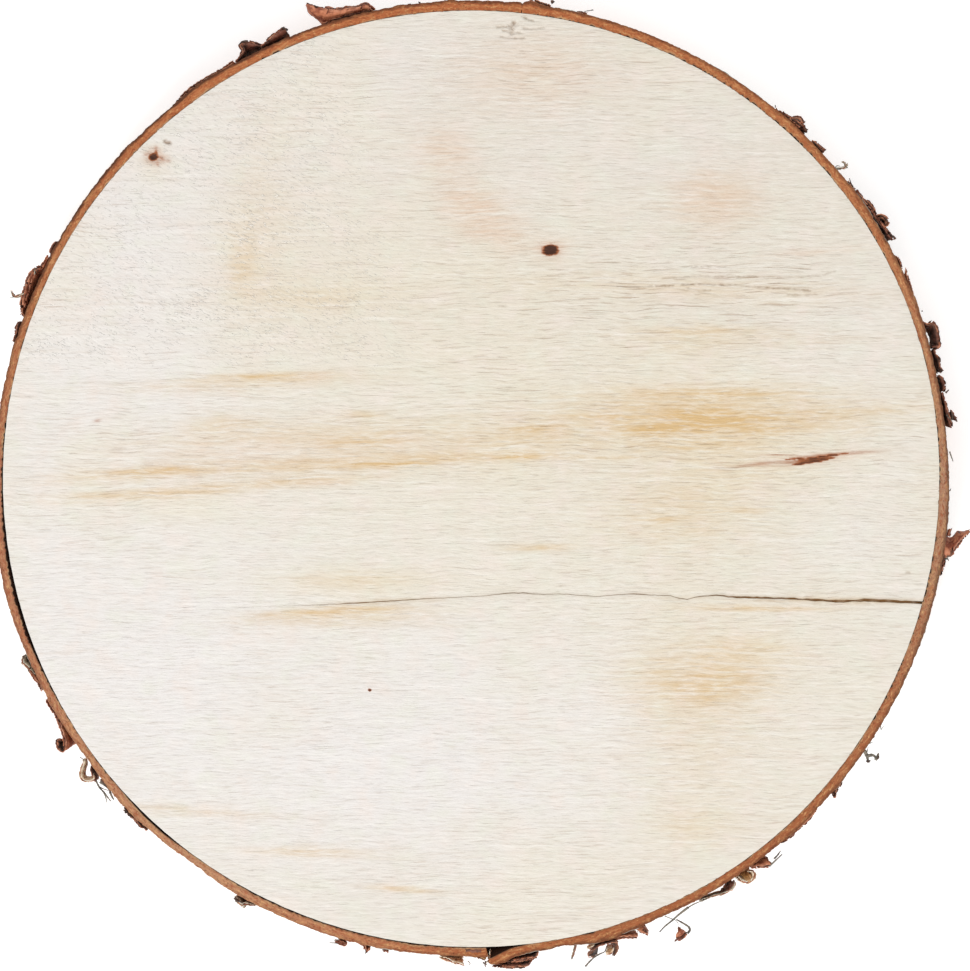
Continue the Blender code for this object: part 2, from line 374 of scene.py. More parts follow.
def buildBarkSkinMaterial():
    look = barkFinish
    material, tree, shader = newMaterial("outerBark")
    place = stored(tree, "barkPlace").outputs["Vector"]
    skin = useGroup(tree, paperySkin, {"Vector": place, "Patch": 0.011, "Streak": 0.0011})
    # short dark breathing slits that run round the trunk
    slits = useGroup(tree, woodFibres, {"Vector": place, "Length": 0.0045, "Width": 0.0011, "Waviness": 0.1,
                                        "Seed": 11.0})["Pores"]
    colour = mixColour(tree, remap(tree, skin["Mottle"], 0.38, 0.62), look["silver"], look["grey"])
    colour = tint(tree, colour, look["skinBrown"], skin["Streaks"], 0.48, 0.72, 0.6)
    torn = mixColour(tree, remap(tree, skin["Streaks"], 0.35, 0.7), look["inside"], look["insidePale"])
    colour = mixColour(tree, storedValue(tree, "bare"), colour, torn)
    colour = mixColour(tree, maths(tree, "MULTIPLY", slits, 0.85), colour, look["dark"])
    tree.links.new(colour, shader.inputs["Base Color"])
    tree.links.new(remap(tree, skin["Mottle"], 0.3, 0.7, 0.55, 0.85), shader.inputs["Roughness"])
    height = maths(tree, "ADD", skin["Height"], maths(tree, "MULTIPLY", slits, 0.8))
    addBump(tree, shader, height, 0.0006, 0.7)
    return material


peelFinishes = {
    # the inside and the outside of a strip: pale, deep and torn edge colour, strength of that edge, and seed;
    # the paler torn edge is partly painted highlight
    "red": (((0.56, 0.20, 0.10), (0.26, 0.060, 0.026), (0.66, 0.36, 0.24), 0.40, 4.0),
            ((0.40, 0.16, 0.09), (0.13, 0.050, 0.026), (0.52, 0.27, 0.17), 0.40, 2.0)),
    "dark": (((0.17, 0.055, 0.034), (0.038, 0.016, 0.011), (0.40, 0.18, 0.11), 0.30, 8.0),
             ((0.10, 0.052, 0.034), (0.028, 0.016, 0.012), (0.26, 0.14, 0.09), 0.30, 6.0)),
    "grey": (((0.50, 0.40, 0.28), (0.17, 0.115, 0.075), (0.72, 0.66, 0.54), 0.7, 12.0),
             ((0.19, 0.165, 0.13), (0.055, 0.047, 0.038), (0.50, 0.46, 0.37), 0.4, 10.0)),
    "amber": (((0.60, 0.31, 0.11), (0.34, 0.135, 0.040), (0.74, 0.52, 0.28), 0.5, 21.0),
              ((0.42, 0.22, 0.09), (0.17, 0.075, 0.030), (0.56, 0.38, 0.20), 0.4, 19.0)),
    "cream": (((0.84, 0.66, 0.45), (0.52, 0.27, 0.12), (0.92, 0.84, 0.70), 0.8, 16.0),
              ((0.66, 0.50, 0.31), (0.30, 0.17, 0.08), (0.84, 0.72, 0.54), 0.6, 14.0)),
}


def buildPeelMaterial(side, key, pale, deep, tornEdgeAndHighlight, edgeStrength, seed):
    material, tree, shader = newMaterial("peel" + side + key.capitalize(), 0.62, 0.35)
    place = stored(tree, "barkPlace").outputs["Vector"]
    streak = {"In": 0.0005, "Out": 0.0006}[side]
    skin = useGroup(tree, paperySkin, {"Vector": place, "Patch": 0.0035, "Streak": streak, "Seed": seed})
    colour = mixColour(tree, remap(tree, skin["Mottle"], 0.42, 0.58), (*pale, 1.0), (*deep, 1.0))
    colour = tint(tree, colour, barkFinish["dark"], skin["Streaks"], 0.54, 0.70, 0.8)
    # paler torn edges, partly their own colour and partly painted highlight
    rim = remap(tree, skin["Streaks"], 0.40, 0.60, 1.3, 0.0)
    rim = maths(tree, "MULTIPLY", storedValue(tree, "tornEdgeAndHighlight"), rim)
    colour = mixColour(tree, maths(tree, "MULTIPLY", rim, edgeStrength), colour, (*tornEdgeAndHighlight, 1.0))
    tree.links.new(colour, shader.inputs["Base Color"])
    addBump(tree, shader, skin["Height"], 0.0003, 0.7)
    return material


sawnBirch = buildWoodMaterial()
sawnBark = buildSawnBarkMaterial()
outerBark = buildBarkSkinMaterial()
peelMaterials = {key: [buildPeelMaterial(side, key, *values) for side, values in zip(("In", "Out"), sides)]
                 for key, sides in peelFinishes.items()}
print("materials built")


woodFace = {
    "rowGap": 0.95,
    "dotGap": 2.2,
    "underRowGap": 2.6,
    "underDotGap": 5.0,
    "rimStep": 0.5,
    "radius": 147.0,
    "relief": 0.07,
    "wornEdge": 0.35,
}

# The drying check, from its faint tip to the bark: plan points, and by x its half width, depth, darkness and
# depth on the underside. The darkness is partly the check's own brown and partly painted shade of its depth.
dryingCheck = {
    "line": [(-104, -40.8), (-82, -40.2), (-59.7, -39.8), (-45, -39.3), (-35.2, -38.8), (-15.4, -37.6),
             (2.8, -36.7), (13.5, -35.6), (21.6, -36.1), (29.5, -36.0), (33.6, -36.4), (39.5, -36.8),
             (49.9, -36.0), (54.6, -36.1), (56.2, -36.4), (62.5, -36.5), (64.4, -37.2), (68.1, -37.8),
             (69.4, -37.2), (72.0, -36.7), (77.0, -36.4), (82.4, -37.0), (92.3, -37.2), (103.3, -37.6),
             (111.7, -38.1), (116.4, -38.35), (124.3, -37.9), (134.7, -38.4), (141.5, -38.75),
             (150, -39.2)],
    "halfWidth": [(-104, 0.02), (-62, 0.05), (-42, 0.11), (-38, 0.18), (-25, 0.16), (-12, 0.13), (0, 0.10),
                  (11, 0.15), (20, 0.12), (48, 0.11), (52, 0.16), (57, 0.12), (72, 0.15), (78, 0.20),
                  (82, 0.32), (92, 0.36), (95, 0.20), (101, 0.36), (104.5, 0.12), (106.5, 0.46),
                  (111, 0.38), (112, 0.22), (114, 0.50), (118, 0.46), (120, 0.20), (122, 0.50), (128, 0.54),
                  (136, 0.44), (150, 0.50)],
    "depth": [(-104, 0.0), (-62, 0.08), (-40, 0.18), (70, 0.22), (84, 0.32), (110, 0.42), (138, 0.55),
              (150, 3.0)],
    "darkness": [(-104, 0.0), (-72, 0.05), (-60, 0.25), (-50, 0.45), (-41, 0.60), (-38, 0.90), (-28, 0.90),
                 (-18, 0.75), (-12, 0.50), (2, 0.38), (8, 0.45), (11, 0.80), (17, 0.80), (22, 0.55),
                 (40, 0.45), (48, 0.50), (51, 0.90), (54, 0.90), (57, 0.50), (67, 0.60), (69, 0.40),
                 (72, 0.80), (79, 0.85), (84, 1.0)],
    "underDepth": [(104, 0.0), (112, 1.5), (150, 5.0)],
    "wander": 0.18,
    "steps": 190,
    # the lines that make the groove: share of its half width, and 1 for a lip or 2 for the bottom
    "lines": ((-1.0, 1), (-0.65, 2), (0.65, 2), (1.0, 1)),
}

# Finer spots of the face: middle, half size, and the gap between points there.
finePatches = {
    "darkKnot": (24.8, 72.0, 7.0, 5.0, 0.34),
    "starKnot": (-98.0, 102.2, 8.0, 7.0, 0.36),
    "spindle": (107.0, 6.7, 24.0, 3.6, 0.5),
    "rimCracks": (15.8, 141.2, 9.0, 4.6, 0.34),
    "eastLines": (80.0, 61.4, 36.0, 5.6, 0.36),
    "dotLow": (-31.8, -66.2, 1.6, 1.4, 0.3),
    "dotEast": (137.0, -29.5, 1.8, 1.4, 0.3),
    "fleckWest": (-117.2, 18.3, 2.2, 1.4, 0.3),
}

# Small open cracks: plan points, half width, depth and darkness, partly their brown and partly painted shade.
smallCracks = {
    "rimBreak": ([(16.3, 147.5), (16.0, 146.0), (16.6, 144.9), (19.6, 143.7)], 0.20, 0.6, 0.50),
    "rimBranch": ([(8.2, 142.0), (11.4, 142.0)], 0.22, 0.5, 0.34),
    "rimStem": ([(13.4, 143.2), (12.6, 141.6), (12.8, 140.0)], 0.42, 0.9, 0.42),
    "rimFan": ([(11.9, 142.6), (12.7, 141.2), (14.6, 142.8)], 0.24, 0.6, 0.34),
    "rimLong": ([(16.2, 141.7), (19.0, 141.3), (22.8, 141.7)], 0.20, 0.4, 0.34),
    "rimMiddle": ([(13.2, 140.3), (16.4, 140.0)], 0.18, 0.4, 0.26),
    "rimLow": ([(9.2, 138.9), (12.5, 138.4), (16.6, 138.4)], 0.20, 0.4, 0.34),
    "rimSide": ([(9.8, 140.9), (11.8, 140.5)], 0.17, 0.3, 0.28),
    "eastLineA": ([(46.0, 60.6), (53.0, 60.3), (57.0, 60.8)], 0.19, 0.06, 0.42),
    "eastLineB": ([(58.0, 60.7), (63.7, 60.8)], 0.19, 0.06, 0.62),
    "eastLineC": ([(66.0, 61.0), (73.5, 61.3), (80.0, 61.0)], 0.19, 0.06, 0.55),
    "eastLineD": ([(80.5, 61.1), (86.7, 60.5), (93.0, 60.2)], 0.19, 0.06, 0.50),
    "eastLineE": ([(92.3, 60.2), (102.4, 59.6), (106.4, 59.1)], 0.19, 0.06, 0.55),
    "eastUpper": ([(60.0, 63.0), (71.9, 63.8), (80.7, 63.4), (89.8, 63.6)], 0.17, 0.06, 0.36),
    "eastUpperFar": ([(96.0, 63.4), (104.0, 63.5), (111.2, 64.2), (114.3, 65.4)], 0.17, 0.06, 0.34),
    "eastLowA": ([(67.8, 60.0), (71.9, 59.1), (75.0, 59.2)], 0.17, 0.06, 0.38),
    "eastLowB": ([(99.5, 57.9), (104.0, 57.7), (108.3, 58.0)], 0.17, 0.06, 0.50),
    "eastHighest": ([(66.0, 66.6), (75.0, 66.8), (82.0, 66.4)], 0.13, 0.2, 0.25),
    "mateSpot": ([(-96.0, 106.1), (-94.6, 105.5)], 0.42, 0.3, 0.75),
    "greyDot": ([(136.8, -29.3), (137.6, -29.4)], 0.28, 0.2, 0.45),
    "rimEast": ([(26.0, 137.9), (30.0, 137.4), (33.5, 137.5)], 0.12, 0.2, 0.20),
}

# Knots and dark spots: middle, half length, half width, tilt, and how dark.
knots = {
    "knot": (24.9, 71.9, 2.70, 1.80, 3, 1.0),
    "star": (-99.6, 101.2, 1.55, 1.25, 20, 0.95),
    "starCore": (-98.9, 102.4, 0.55, 0.8, 0, 0.55),
    "dotLow": (-31.8, -66.2, 0.60, 0.50, 0, 0.9),
    "crackDot": (122.6, -40.6, 0.35, 0.3, 0, 0.7),
    "spindleLine": (111.0, 7.2, 9.0, 0.30, 8, 0.85),
    "spindleLineWest": (101.5, 6.4, 3.5, 0.32, 3, 0.75),
    "spindleBody": (108.0, 6.1, 6.8, 0.85, 9, 0.62),
    "spindleLow": (104.5, 5.0, 4.4, 0.38, 9, 0.80),
    "spindleMiddle": (110.0, 5.9, 4.6, 0.30, 12, 0.78),
    "spindleThin": (95.0, 7.7, 6.0, 0.14, -2, 0.35),
}

# Stains and areas of other wood: middle, half length along the grain, half width, tilt and strength.
tanStains = {
    "main": (69.0, 18.2, 27.0, 5.4, 0, 0.60),
    "mainWestCore": (57.0, 15.4, 11.0, 1.5, 0, 0.62),
    "mainEastCore": (76.0, 18.4, 14.0, 2.6, 0, 0.45),
    "mainUpper": (74.0, 26.6, 30.0, 2.6, 0, 0.42),
    "mainHalo": (70.0, 22.0, 48.0, 9.0, 1, 0.26),
    "mainTail": (118.0, 21.0, 28.0, 2.6, 3, 0.30),
    "mainTailLow": (110.0, 16.0, 32.0, 3.0, 3, 0.16),
    "mainLow": (70.0, 10.6, 24.0, 2.0, 0, 0.38),
    "thinEast": (40.0, 6.7, 16.0, 0.6, 0, 0.35),
    "thinNorth": (39.0, 19.6, 16.0, 0.7, 0, 0.35),
    "west": (-62.5, 32.3, 19.0, 1.2, 2, 0.50),
    "westWide": (-74.0, 30.0, 40.0, 2.6, 3, 0.28),
    "farWest": (-104.0, 1.8, 28.0, 2.4, 4, 0.42),
    "farWestCore": (-101.0, 2.6, 12.0, 1.0, 5, 0.36),
    "farWestLow": (-100.0, -4.6, 34.0, 1.8, 3, 0.42),
    "band": (-24.0, 4.8, 17.0, 0.9, 2, 0.66),
    "bandWide": (-39.6, 5.1, 52.0, 2.6, 3, 0.46),
    "bandUpper": (-35.0, 11.6, 14.0, 2.4, 2, 0.46),
    "bandUpperWide": (-50.0, 14.0, 60.0, 5.0, 3, 0.24),
    "bandTop": (-34.0, 20.4, 6.0, 1.0, 0, 0.40),
    "bandLow": (-58.0, -0.8, 30.0, 1.6, 3, 0.38),
    "middle": (15.6, 7.1, 9.0, 1.2, 2, 0.66),
    "middleUpper": (21.0, 15.9, 9.0, 1.3, 2, 0.44),
    "middleWide": (14.0, 12.4, 20.0, 3.4, 2, 0.30),
    "middleHaze": (20.0, 12.0, 60.0, 10.0, 2, 0.10),
    "lower": (19.6, -21.4, 11.0, 1.1, 0, 0.42),
    "lowerEast": (59.3, -12.8, 7.0, 0.8, 0, 0.55),
    "lowerFarEast": (86.0, -9.7, 6.0, 0.8, 0, 0.42),
    "eastHaze": (66.0, -10.0, 26.0, 13.0, 0, 0.26),
    "underCheck": (-44.0, -41.6, 22.0, 1.5, 3, 0.58),
    "underCheckWide": (-40.0, -44.0, 34.0, 3.0, 2, 0.26),
    "underCheckEast": (89.2, -40.6, 22.0, 0.9, -1, 0.55),
    "checkGlow": (114.0, -38.0, 34.0, 1.0, -1, 0.34),
    "checkGlowWest": (-30.0, -38.6, 20.0, 0.9, 4, 0.25),
    "southEast": (74.0, -63.0, 21.0, 9.0, 0, 0.42),
    "southEastCore": (75.0, -66.0, 14.0, 2.0, 0, 0.30),
    "southEastLow": (72.0, -109.0, 14.0, 6.0, 0, 0.14),
    "southEastHaze": (70.0, -76.0, 26.0, 34.0, 0, 0.16),
    "south": (-20.8, -128.7, 12.0, 1.0, -4, 0.52),
    "southWest": (-50.0, -117.0, 20.0, 1.6, -2, 0.40),
    "southFaint": (-90.0, -104.0, 34.0, 2.0, -3, 0.20),
    "northWest": (-71.6, 67.3, 5.5, 10.0, 0, 0.30),
    "northWestTall": (-66.0, 84.0, 12.0, 26.0, 0, 0.12),
    "northEast": (76.6, 87.7, 14.0, 8.0, 0, 0.16),
    "eastBand": (70.0, 60.0, 54.0, 4.0, -2, 0.20),
    "eastBandLow": (72.0, 46.5, 20.0, 1.6, 0, 0.30),
    "eastHigh": (68.0, 43.0, 18.0, 5.0, 0, 0.14),
    "rimEast": (100.0, 44.0, 34.0, 3.0, 0, 0.12),
    "highWest": (-47.0, 57.0, 24.0, 5.0, 1, 0.16),
    "aboveCheck": (-37.0, -31.5, 24.0, 4.0, 1, 0.20),
    "belowMain": (82.0, 4.0, 24.0, 7.0, 0, 0.16),
    "mainFar": (93.0, 17.5, 14.0, 4.0, 1, 0.26),
    "westMid": (-78.0, 17.0, 13.0, 3.6, 2, 0.26),
    "southEastTop": (88.0, -54.0, 18.0, 5.0, 0, 0.22),
}
pinkStains = {
    "northA": (-8.6, 103.5, 9.0, 7.0, 0, 0.50),
    "northB": (1.5, 85.0, 14.0, 8.0, -35, 0.60),
    "northC": (20.0, 127.0, 26.0, 12.0, 0, 0.40),
    "northD": (10.0, 76.0, 14.0, 5.0, -15, 0.30),
    "northEast": (76.6, 87.7, 14.0, 10.0, 0, 0.45),
    "eastLine": (110.0, 71.6, 18.0, 1.2, 6, 0.35),
    "westPink": (-118.0, 56.0, 16.0, 10.0, 0, 0.10),
    "spindleHalo": (110.0, 6.8, 18.0, 1.9, 5, 0.55),
    "knotHalo": (24.8, 72.0, 5.0, 3.2, 0, 0.60),
    "starHalo": (-99.2, 101.4, 3.6, 3.0, 0, 0.55),
    "bandPink": (-66.0, 8.0, 44.0, 5.0, 2, 0.26),
    "westEnd": (-49.5, 32.4, 5.0, 1.1, 0, 0.40),
    "bandLowPink": (-46.0, -1.3, 9.0, 1.2, 0, 0.40),
}
redStains = {
    "spindleLine": (112.0, 7.7, 9.5, 0.42, 4, 0.90),
    "spindleBody": (108.0, 6.2, 8.4, 1.15, 9, 0.55),
    "spindleDark": (101.8, 5.6, 4.0, 0.75, 8, 0.60),
    "starHalo": (-99.2, 101.3, 2.8, 2.5, 0, 0.50),
    "starNorth": (-98.9, 103.6, 0.5, 1.0, 0, 0.6),
    "starEast": (-97.0, 100.5, 1.1, 0.5, -35, 0.6),
    "starSouth": (-98.4, 98.9, 0.45, 1.0, 20, 0.6),
    "starWest": (-102.0, 101.8, 1.1, 0.45, 10, 0.6),
    "knotHalo": (24.9, 72.0, 3.6, 2.4, 0, 0.40),
    "spindleEast": (120.5, 8.3, 7.0, 0.40, 4, 0.50),
    "spindleWest": (93.0, 5.2, 9.0, 0.55, 6, 0.50),
    "spindleTail": (86.0, 4.0, 8.0, 0.40, 6, 0.35),
    "spindleThin": (96.0, 7.6, 6.0, 0.22, 0, 0.35),
    "fleckWest": (-117.2, 18.3, 1.4, 0.6, 10, 0.6),
    "starMateB": (-95.0, 100.0, 0.9, 0.7, 0, 0.35),
    "fleckNorth": (-46.0, 32.9, 1.0, 0.35, -10, 0.5),
}
paleAreas = {
    "westWhite": (-105.0, 40.0, 42.0, 80.0, 0, 0.8),
    "northWestWhite": (-104.0, 84.0, 30.0, 40.0, 0, 0.95),
    "northWhite": (-56.0, 110.0, 48.0, 28.0, 0, 0.85),
    "northEastWhite": (48.0, 104.0, 44.0, 24.0, 0, 0.70),
    "westEdge": (-132.0, -12.0, 12.0, 90.0, 0, 0.6),
    "southWhite": (-20.0, -95.0, 110.0, 48.0, 0, 0.9),
    "southWestWhite": (-100.0, -60.0, 70.0, 50.0, 0, 0.9),
    "checkWhite": (0.0, -55.0, 60.0, 14.0, 0, 0.3),
    "southEastWhite": (42.0, -72.0, 14.0, 34.0, 0, 0.6),
    "eastWhite": (118.0, -22.0, 22.0, 12.0, 0, 0.5),
    "eastUpperWhite": (112.0, 44.0, 32.0, 24.0, 0, 0.6),
    "northTop": (-30.0, 130.0, 44.0, 14.0, 0, 0.7),
    "eastEdge": (137.0, -20.0, 10.0, 50.0, 0, 0.4),
}
# Broad darker areas, strongest towards the top of the face: middle, half length, half width, tilt and
# strength.
deeperAreas = {
    "north": (0.0, 112.0, 130.0, 50.0, 0, 0.55),
    "northWest": (-60.0, 76.0, 40.0, 40.0, 0, 0.25),
    "northEast": (80.0, 86.0, 60.0, 40.0, 0, 0.40),
    "middle": (20.0, 52.0, 120.0, 16.0, 0, 0.42),
    "south": (0.0, -128.0, 110.0, 24.0, 0, 0.32),
}
yellowAreas = {
    "north": (-36.0, 60.0, 50.0, 34.0, 0, 0.45),
    "northWestPatch": (-68.0, 72.0, 14.0, 26.0, 0, 0.35),
    "northEdge": (30.0, 116.0, 70.0, 20.0, 0, 0.15),
    "middleEast": (64.0, 38.0, 80.0, 50.0, 0, 0.45),
    "eastBand": (80.0, 6.0, 26.0, 22.0, 0, 0.40),
    "middle": (-10.0, -5.0, 70.0, 22.0, 0, 0.20),
    "aboveCheck": (-34.0, -33.0, 36.0, 6.0, 0, 0.55),
    "farWest": (-98.0, -8.0, 14.0, 5.0, 0, 0.4),
    "southEast": (74.0, -75.0, 30.0, 44.0, 0, 0.22),
    "southEastTop": (88.0, -52.0, 18.0, 10.0, 0, 0.40),
    "southEastLow": (70.0, -110.0, 16.0, 12.0, 0, 0.40),
    "starHalo": (-99.0, 98.0, 8.0, 7.0, 0, 0.55),
    "eastPatch": (64.0, 42.0, 20.0, 8.0, 0, 0.50),
    "middlePatch": (10.0, 4.0, 14.0, 6.0, 0, 0.40),
    "westPatch": (-84.0, -8.0, 18.0, 6.0, 0, 0.50),
    "westHigh": (-45.0, 57.0, 24.0, 7.0, 0, 0.50),
}


# Dents in the face, then areas of open grain: middle, half length, half width, and depth or strength.
dents = {
    "knot": (24.8, 72.0, 3.2, 2.2, 0.40),
    "star": (-99.3, 101.2, 2.6, 2.6, 0.35),
    "spindle": (107.5, 6.6, 9.0, 0.9, 0.22),
}
openGrainAreas = {
    "east": (72.0, 58.0, 46.0, 17.0, 1.0),
    "band": (20.0, 14.0, 90.0, 16.0, 0.5),
    "north": (20.0, 128.0, 40.0, 12.0, 0.5),
}


def withinOval(x, y, halfLength, halfWidth, tilt):
    turn = math.radians(tilt)
    return ((x * math.cos(turn) + y * math.sin(turn)) / halfLength,
            (y * math.cos(turn) - x * math.sin(turn)) / halfWidth)


def spotAmount(spots, x, y):
    # the stains overlap like glazes
    left = 1.0
    for cx, cy, halfLength, halfWidth, tilt, strength in spots.values():
        dx, dy = x - cx, y - cy
        if abs(dx) > 2.2 * halfLength + halfWidth or abs(dy) > 2.2 * halfWidth + 0.2 * halfLength:
            continue
        u, v = withinOval(dx, dy, halfLength, halfWidth, tilt)
        # fibres carry the stain further in one row than in the next
        u += 0.35 * hum(cx, y / 0.9) + 0.15 * hum(x / 9.0, y / 2.0)
        v += 0.30 * hum(x / 7.0, y / 3.0, 3.0)
        left *= 1.0 - min(1.0, strength * math.exp(-1.2 * (u * u + v * v)))
    return 1.0 - left


def knotAmount(x, y):
    most = 0.0
    for cx, cy, halfLength, halfWidth, tilt, strength in knots.values():
        dx, dy = x - cx, y - cy
        if abs(dx) + abs(dy) > 2.5 * (halfLength + halfWidth):
            continue
        u, v = withinOval(dx, dy, halfLength, halfWidth, tilt)
        away = math.hypot(u, v) + 0.20 * hum(x / 0.8, y / 0.6, 4.0)
        most = max(most, strength * (1.0 - smoothStep(0.55, 1.35, away)))
    return most


def softOval(x, y, cx, cy, halfLength, halfWidth, strength):
    return strength * math.exp(-((x - cx) / halfLength) ** 2 - ((y - cy) / halfWidth) ** 2)


def slantAmount(x, y):
    # the upper left was sawn with the fibres lying over
    lying = smoothStep(0.0, -46.0, x + 0.20 * (y - 60.0)) * smoothStep(26.0, 44.0, y)
    return lying * (0.75 + 0.5 * hum(x / 20.0, y / 12.0))


def openGrainAmount(x, y):
    return min(1.0, sum(softOval(x, y, *area) for area in openGrainAreas.values()))


def checkHeight(x):
    wander = dryingCheck["wander"]
    return along(dryingCheck["line"], x) + wander * hum(x / 3.1, 4.0) + 0.6 * wander * hum(x / 1.1, 8.0)


def crackHollow(x, y):
    # (depth, darkness) of the small cracks here; the darkness is brown colour together with painted shade
    depth = dark = 0.0
    for line, halfWidth, deep, shade in smallCracks.values():
        for (ax, ay), (bx, by) in zip(line, line[1:]):
            if min(ax, bx) - 1 > x or max(ax, bx) + 1 < x or min(ay, by) - 1 > y or max(ay, by) + 1 < y:
                continue
            runX, runY = bx - ax, by - ay
            t = min(1.0, max(0.0, ((x - ax) * runX + (y - ay) * runY) / (runX ** 2 + runY ** 2)))
            away = math.hypot(x - ax - t * runX, y - ay - t * runY) + 0.15 * hum(x / 0.9, y / 0.5)
            inside = 1.0 - smoothStep(halfWidth * 0.5, halfWidth * 2.4, away)
            inside *= 0.8 + 0.8 * hum(x / 1.3, y, 6.0)
            depth = max(depth, deep * inside)
            dark = max(dark, min(1.0, shade * inside))
    return depth, dark


def faceRelief(x, y):
    low = woodFace["relief"]
    relief = low * hum(x / 16.0, y / 1.9, 1.0) + 0.5 * low * hum(x / 5.0, y / 0.9, 2.0)
    relief += 1.2 * low * hum(x / 60.0, y / 40.0, 5.0)
    for dent in dents.values():
        relief -= softOval(x, y, *dent)
    return relief


def woodRadiusAt(angle):
    return aroundRim(woodEdge, angle) + 0.10 * hum(angle / 1.3, 2.0) + 0.05 * hum(angle / 0.4, 9.0)


def scatteredPoints(rowGap, dotGap, checkFrom, halfWidths, patches):
    # rows of points over the face, and closer ones in the patches
    points = []
    reach, edge = 150.0, woodFace["radius"] - 1.0
    fine = list(patches.values())
    y = -reach
    row = 0
    while y < reach:
        x = -reach + (0.5 * dotGap if row % 2 else 0.0)
        while x < reach:
            px, py = x + random.uniform(-0.3, 0.3), y + random.uniform(-0.16, 0.16) * rowGap
            x += dotGap
            if math.hypot(px, py) > edge:
                continue
            if px > checkFrom - 1.0 and abs(py - checkHeight(px)) < along(halfWidths, px) + 0.4:
                continue
            if any(abs(px - cx) < w and abs(py - cy) < h for cx, cy, w, h, gap in fine):
                continue
            points.append((px, py, 0))
        y += rowGap
        row += 1
    for cx, cy, w, h, gap in fine:
        for i in range(int(2 * w / (1.6 * gap)) + 1):
            for j in range(int(2 * h / gap) + 1):
                px = cx - w + 1.6 * gap * (i + 0.5 * (j % 2)) + random.uniform(-0.1, 0.1)
                py = cy - h + gap * j + random.uniform(-0.05, 0.05)
                if math.hypot(px, py) < edge + 0.2:
                    points.append((px, py, 0))
    return points


def facePoints(rimLoop, rowGap, dotGap, checkFrom, halfWidths, patches):
    # plan points of one sawn face, as (x, y, part of the check): 0 open wood, 1 lip, 2 bottom
    points = list(rimLoop)
    edges = [(i, (i + 1) % len(rimLoop)) for i in range(len(rimLoop))]
    ends = [i for i, (x, y, part) in enumerate(rimLoop) if part]
    steps = dryingCheck["steps"]
    span = rimLoop[ends[0]][0] - checkFrom
    for end, (side, part) in zip(ends, dryingCheck["lines"]):
        for i in range(steps):
            x = checkFrom + span * i / steps
            ragged = 1.0 + 0.35 * hum(x / 1.7, 20.0 + side)
            points.append((x, checkHeight(x) + side * ragged * along(halfWidths, x), part))
            if i:
                edges.append((len(points) - 2, len(points) - 1))
        edges.append((len(points) - 1, end))
    return points + scatteredPoints(rowGap, dotGap, checkFrom, halfWidths, patches), edges


def triangulated(points, edges):
    # squashed along the grain first, so that the triangles come out long that way
    squash = 0.45
    flat = [Vector((squash * x, y)) for x, y, part in points]
    corners, _, faces, source, _, _ = geometry.delaunay_2d_cdt(flat, edges, [], 1, 1e-4)
    kept = [(corner.x / squash, corner.y, max([points[i][2] for i in was], default=0))
            for corner, was in zip(corners, source)]
    firstOf = [min(was) if was else -1 for was in source]
    return kept, faces, firstOf


def woodRim():
    # the rim, with the four ends of the check set into it
    radius, step = woodFace["radius"], woodFace["rimStep"]
    centre = math.degrees(math.asin(checkHeight(142.0) / radius))
    spread = math.degrees(along(dryingCheck["halfWidth"], 143.0) / radius)
    angles = [(a * step, 0) for a in range(int(360 / step))]
    angles = [(a, part) for a, part in angles if abs((a - centre + 180) % 360 - 180) > spread + 0.2]
    angles += [((centre + side * spread) % 360, part) for side, part in dryingCheck["lines"]]
    rimLoop = []
    for angle, part in sorted(angles):
        away, turn = woodRadiusAt(angle), math.radians(angle)
        rimLoop.append((away * math.cos(turn), away * math.sin(turn), part))
    return rimLoop


def topPoint(x, y, part):
    # height and darkness of a point of the top face
    depth, dark = crackHollow(x, y)
    fromRim = woodFace["radius"] + 0.2 - math.hypot(x, y)
    worn = woodFace["wornEdge"] * math.exp(-max(0.0, fromRim) / 0.5)
    worn *= 0.6 + 0.5 * hum(x / 1.5, y / 1.5, 7.0)
    z = topFace + faceRelief(x, y) - depth - max(0.0, worn)
    if part:
        # a brown hairline that opens, darker, towards the bark: its brown with painted shade in the groove, a
        # little on its lips
        patchy = 0.80 + 0.25 * smoothStep(-0.30, 0.10, hum(x / 2.5, 12.0))
        darkness = min(1.0, along(dryingCheck["darkness"], x) * patchy)
        dark = max(dark, darkness if part == 2 else 0.22 * darkness)
        z -= along(dryingCheck["depth"], x) if part == 2 else 0.04
    return z, dark


def paintWood(mesh, vertices, hollowColourAndShade):
    middle = 0.5 * topFace
    # the stains, and how much of each shows through on the underside
    for label, spots, under in (("tanStain", tanStains, 0.5), ("pinkStain", pinkStains, 0.0),
                                ("redStain", redStains, 0.0)):
        setValues(mesh, label, [spotAmount(spots, x, y) if z > middle else under * spotAmount(spots, x, -y)
                                for x, y, z in vertices])
    for label, areas in (("whiteness", paleAreas), ("deepness", deeperAreas), ("yellowness", yellowAreas)):
        setValues(mesh, label, [spotAmount(areas, x, y) for x, y, z in vertices])
    setValues(mesh, "hollowColourAndShade", hollowColourAndShade)
    setValues(mesh, "knot", [knotAmount(x, y) if z > middle else 0.0 for x, y, z in vertices])
    setValues(mesh, "slant", [slantAmount(x, y) for x, y, z in vertices])
    setValues(mesh, "openGrain", [openGrainAmount(x, y) for x, y, z in vertices])


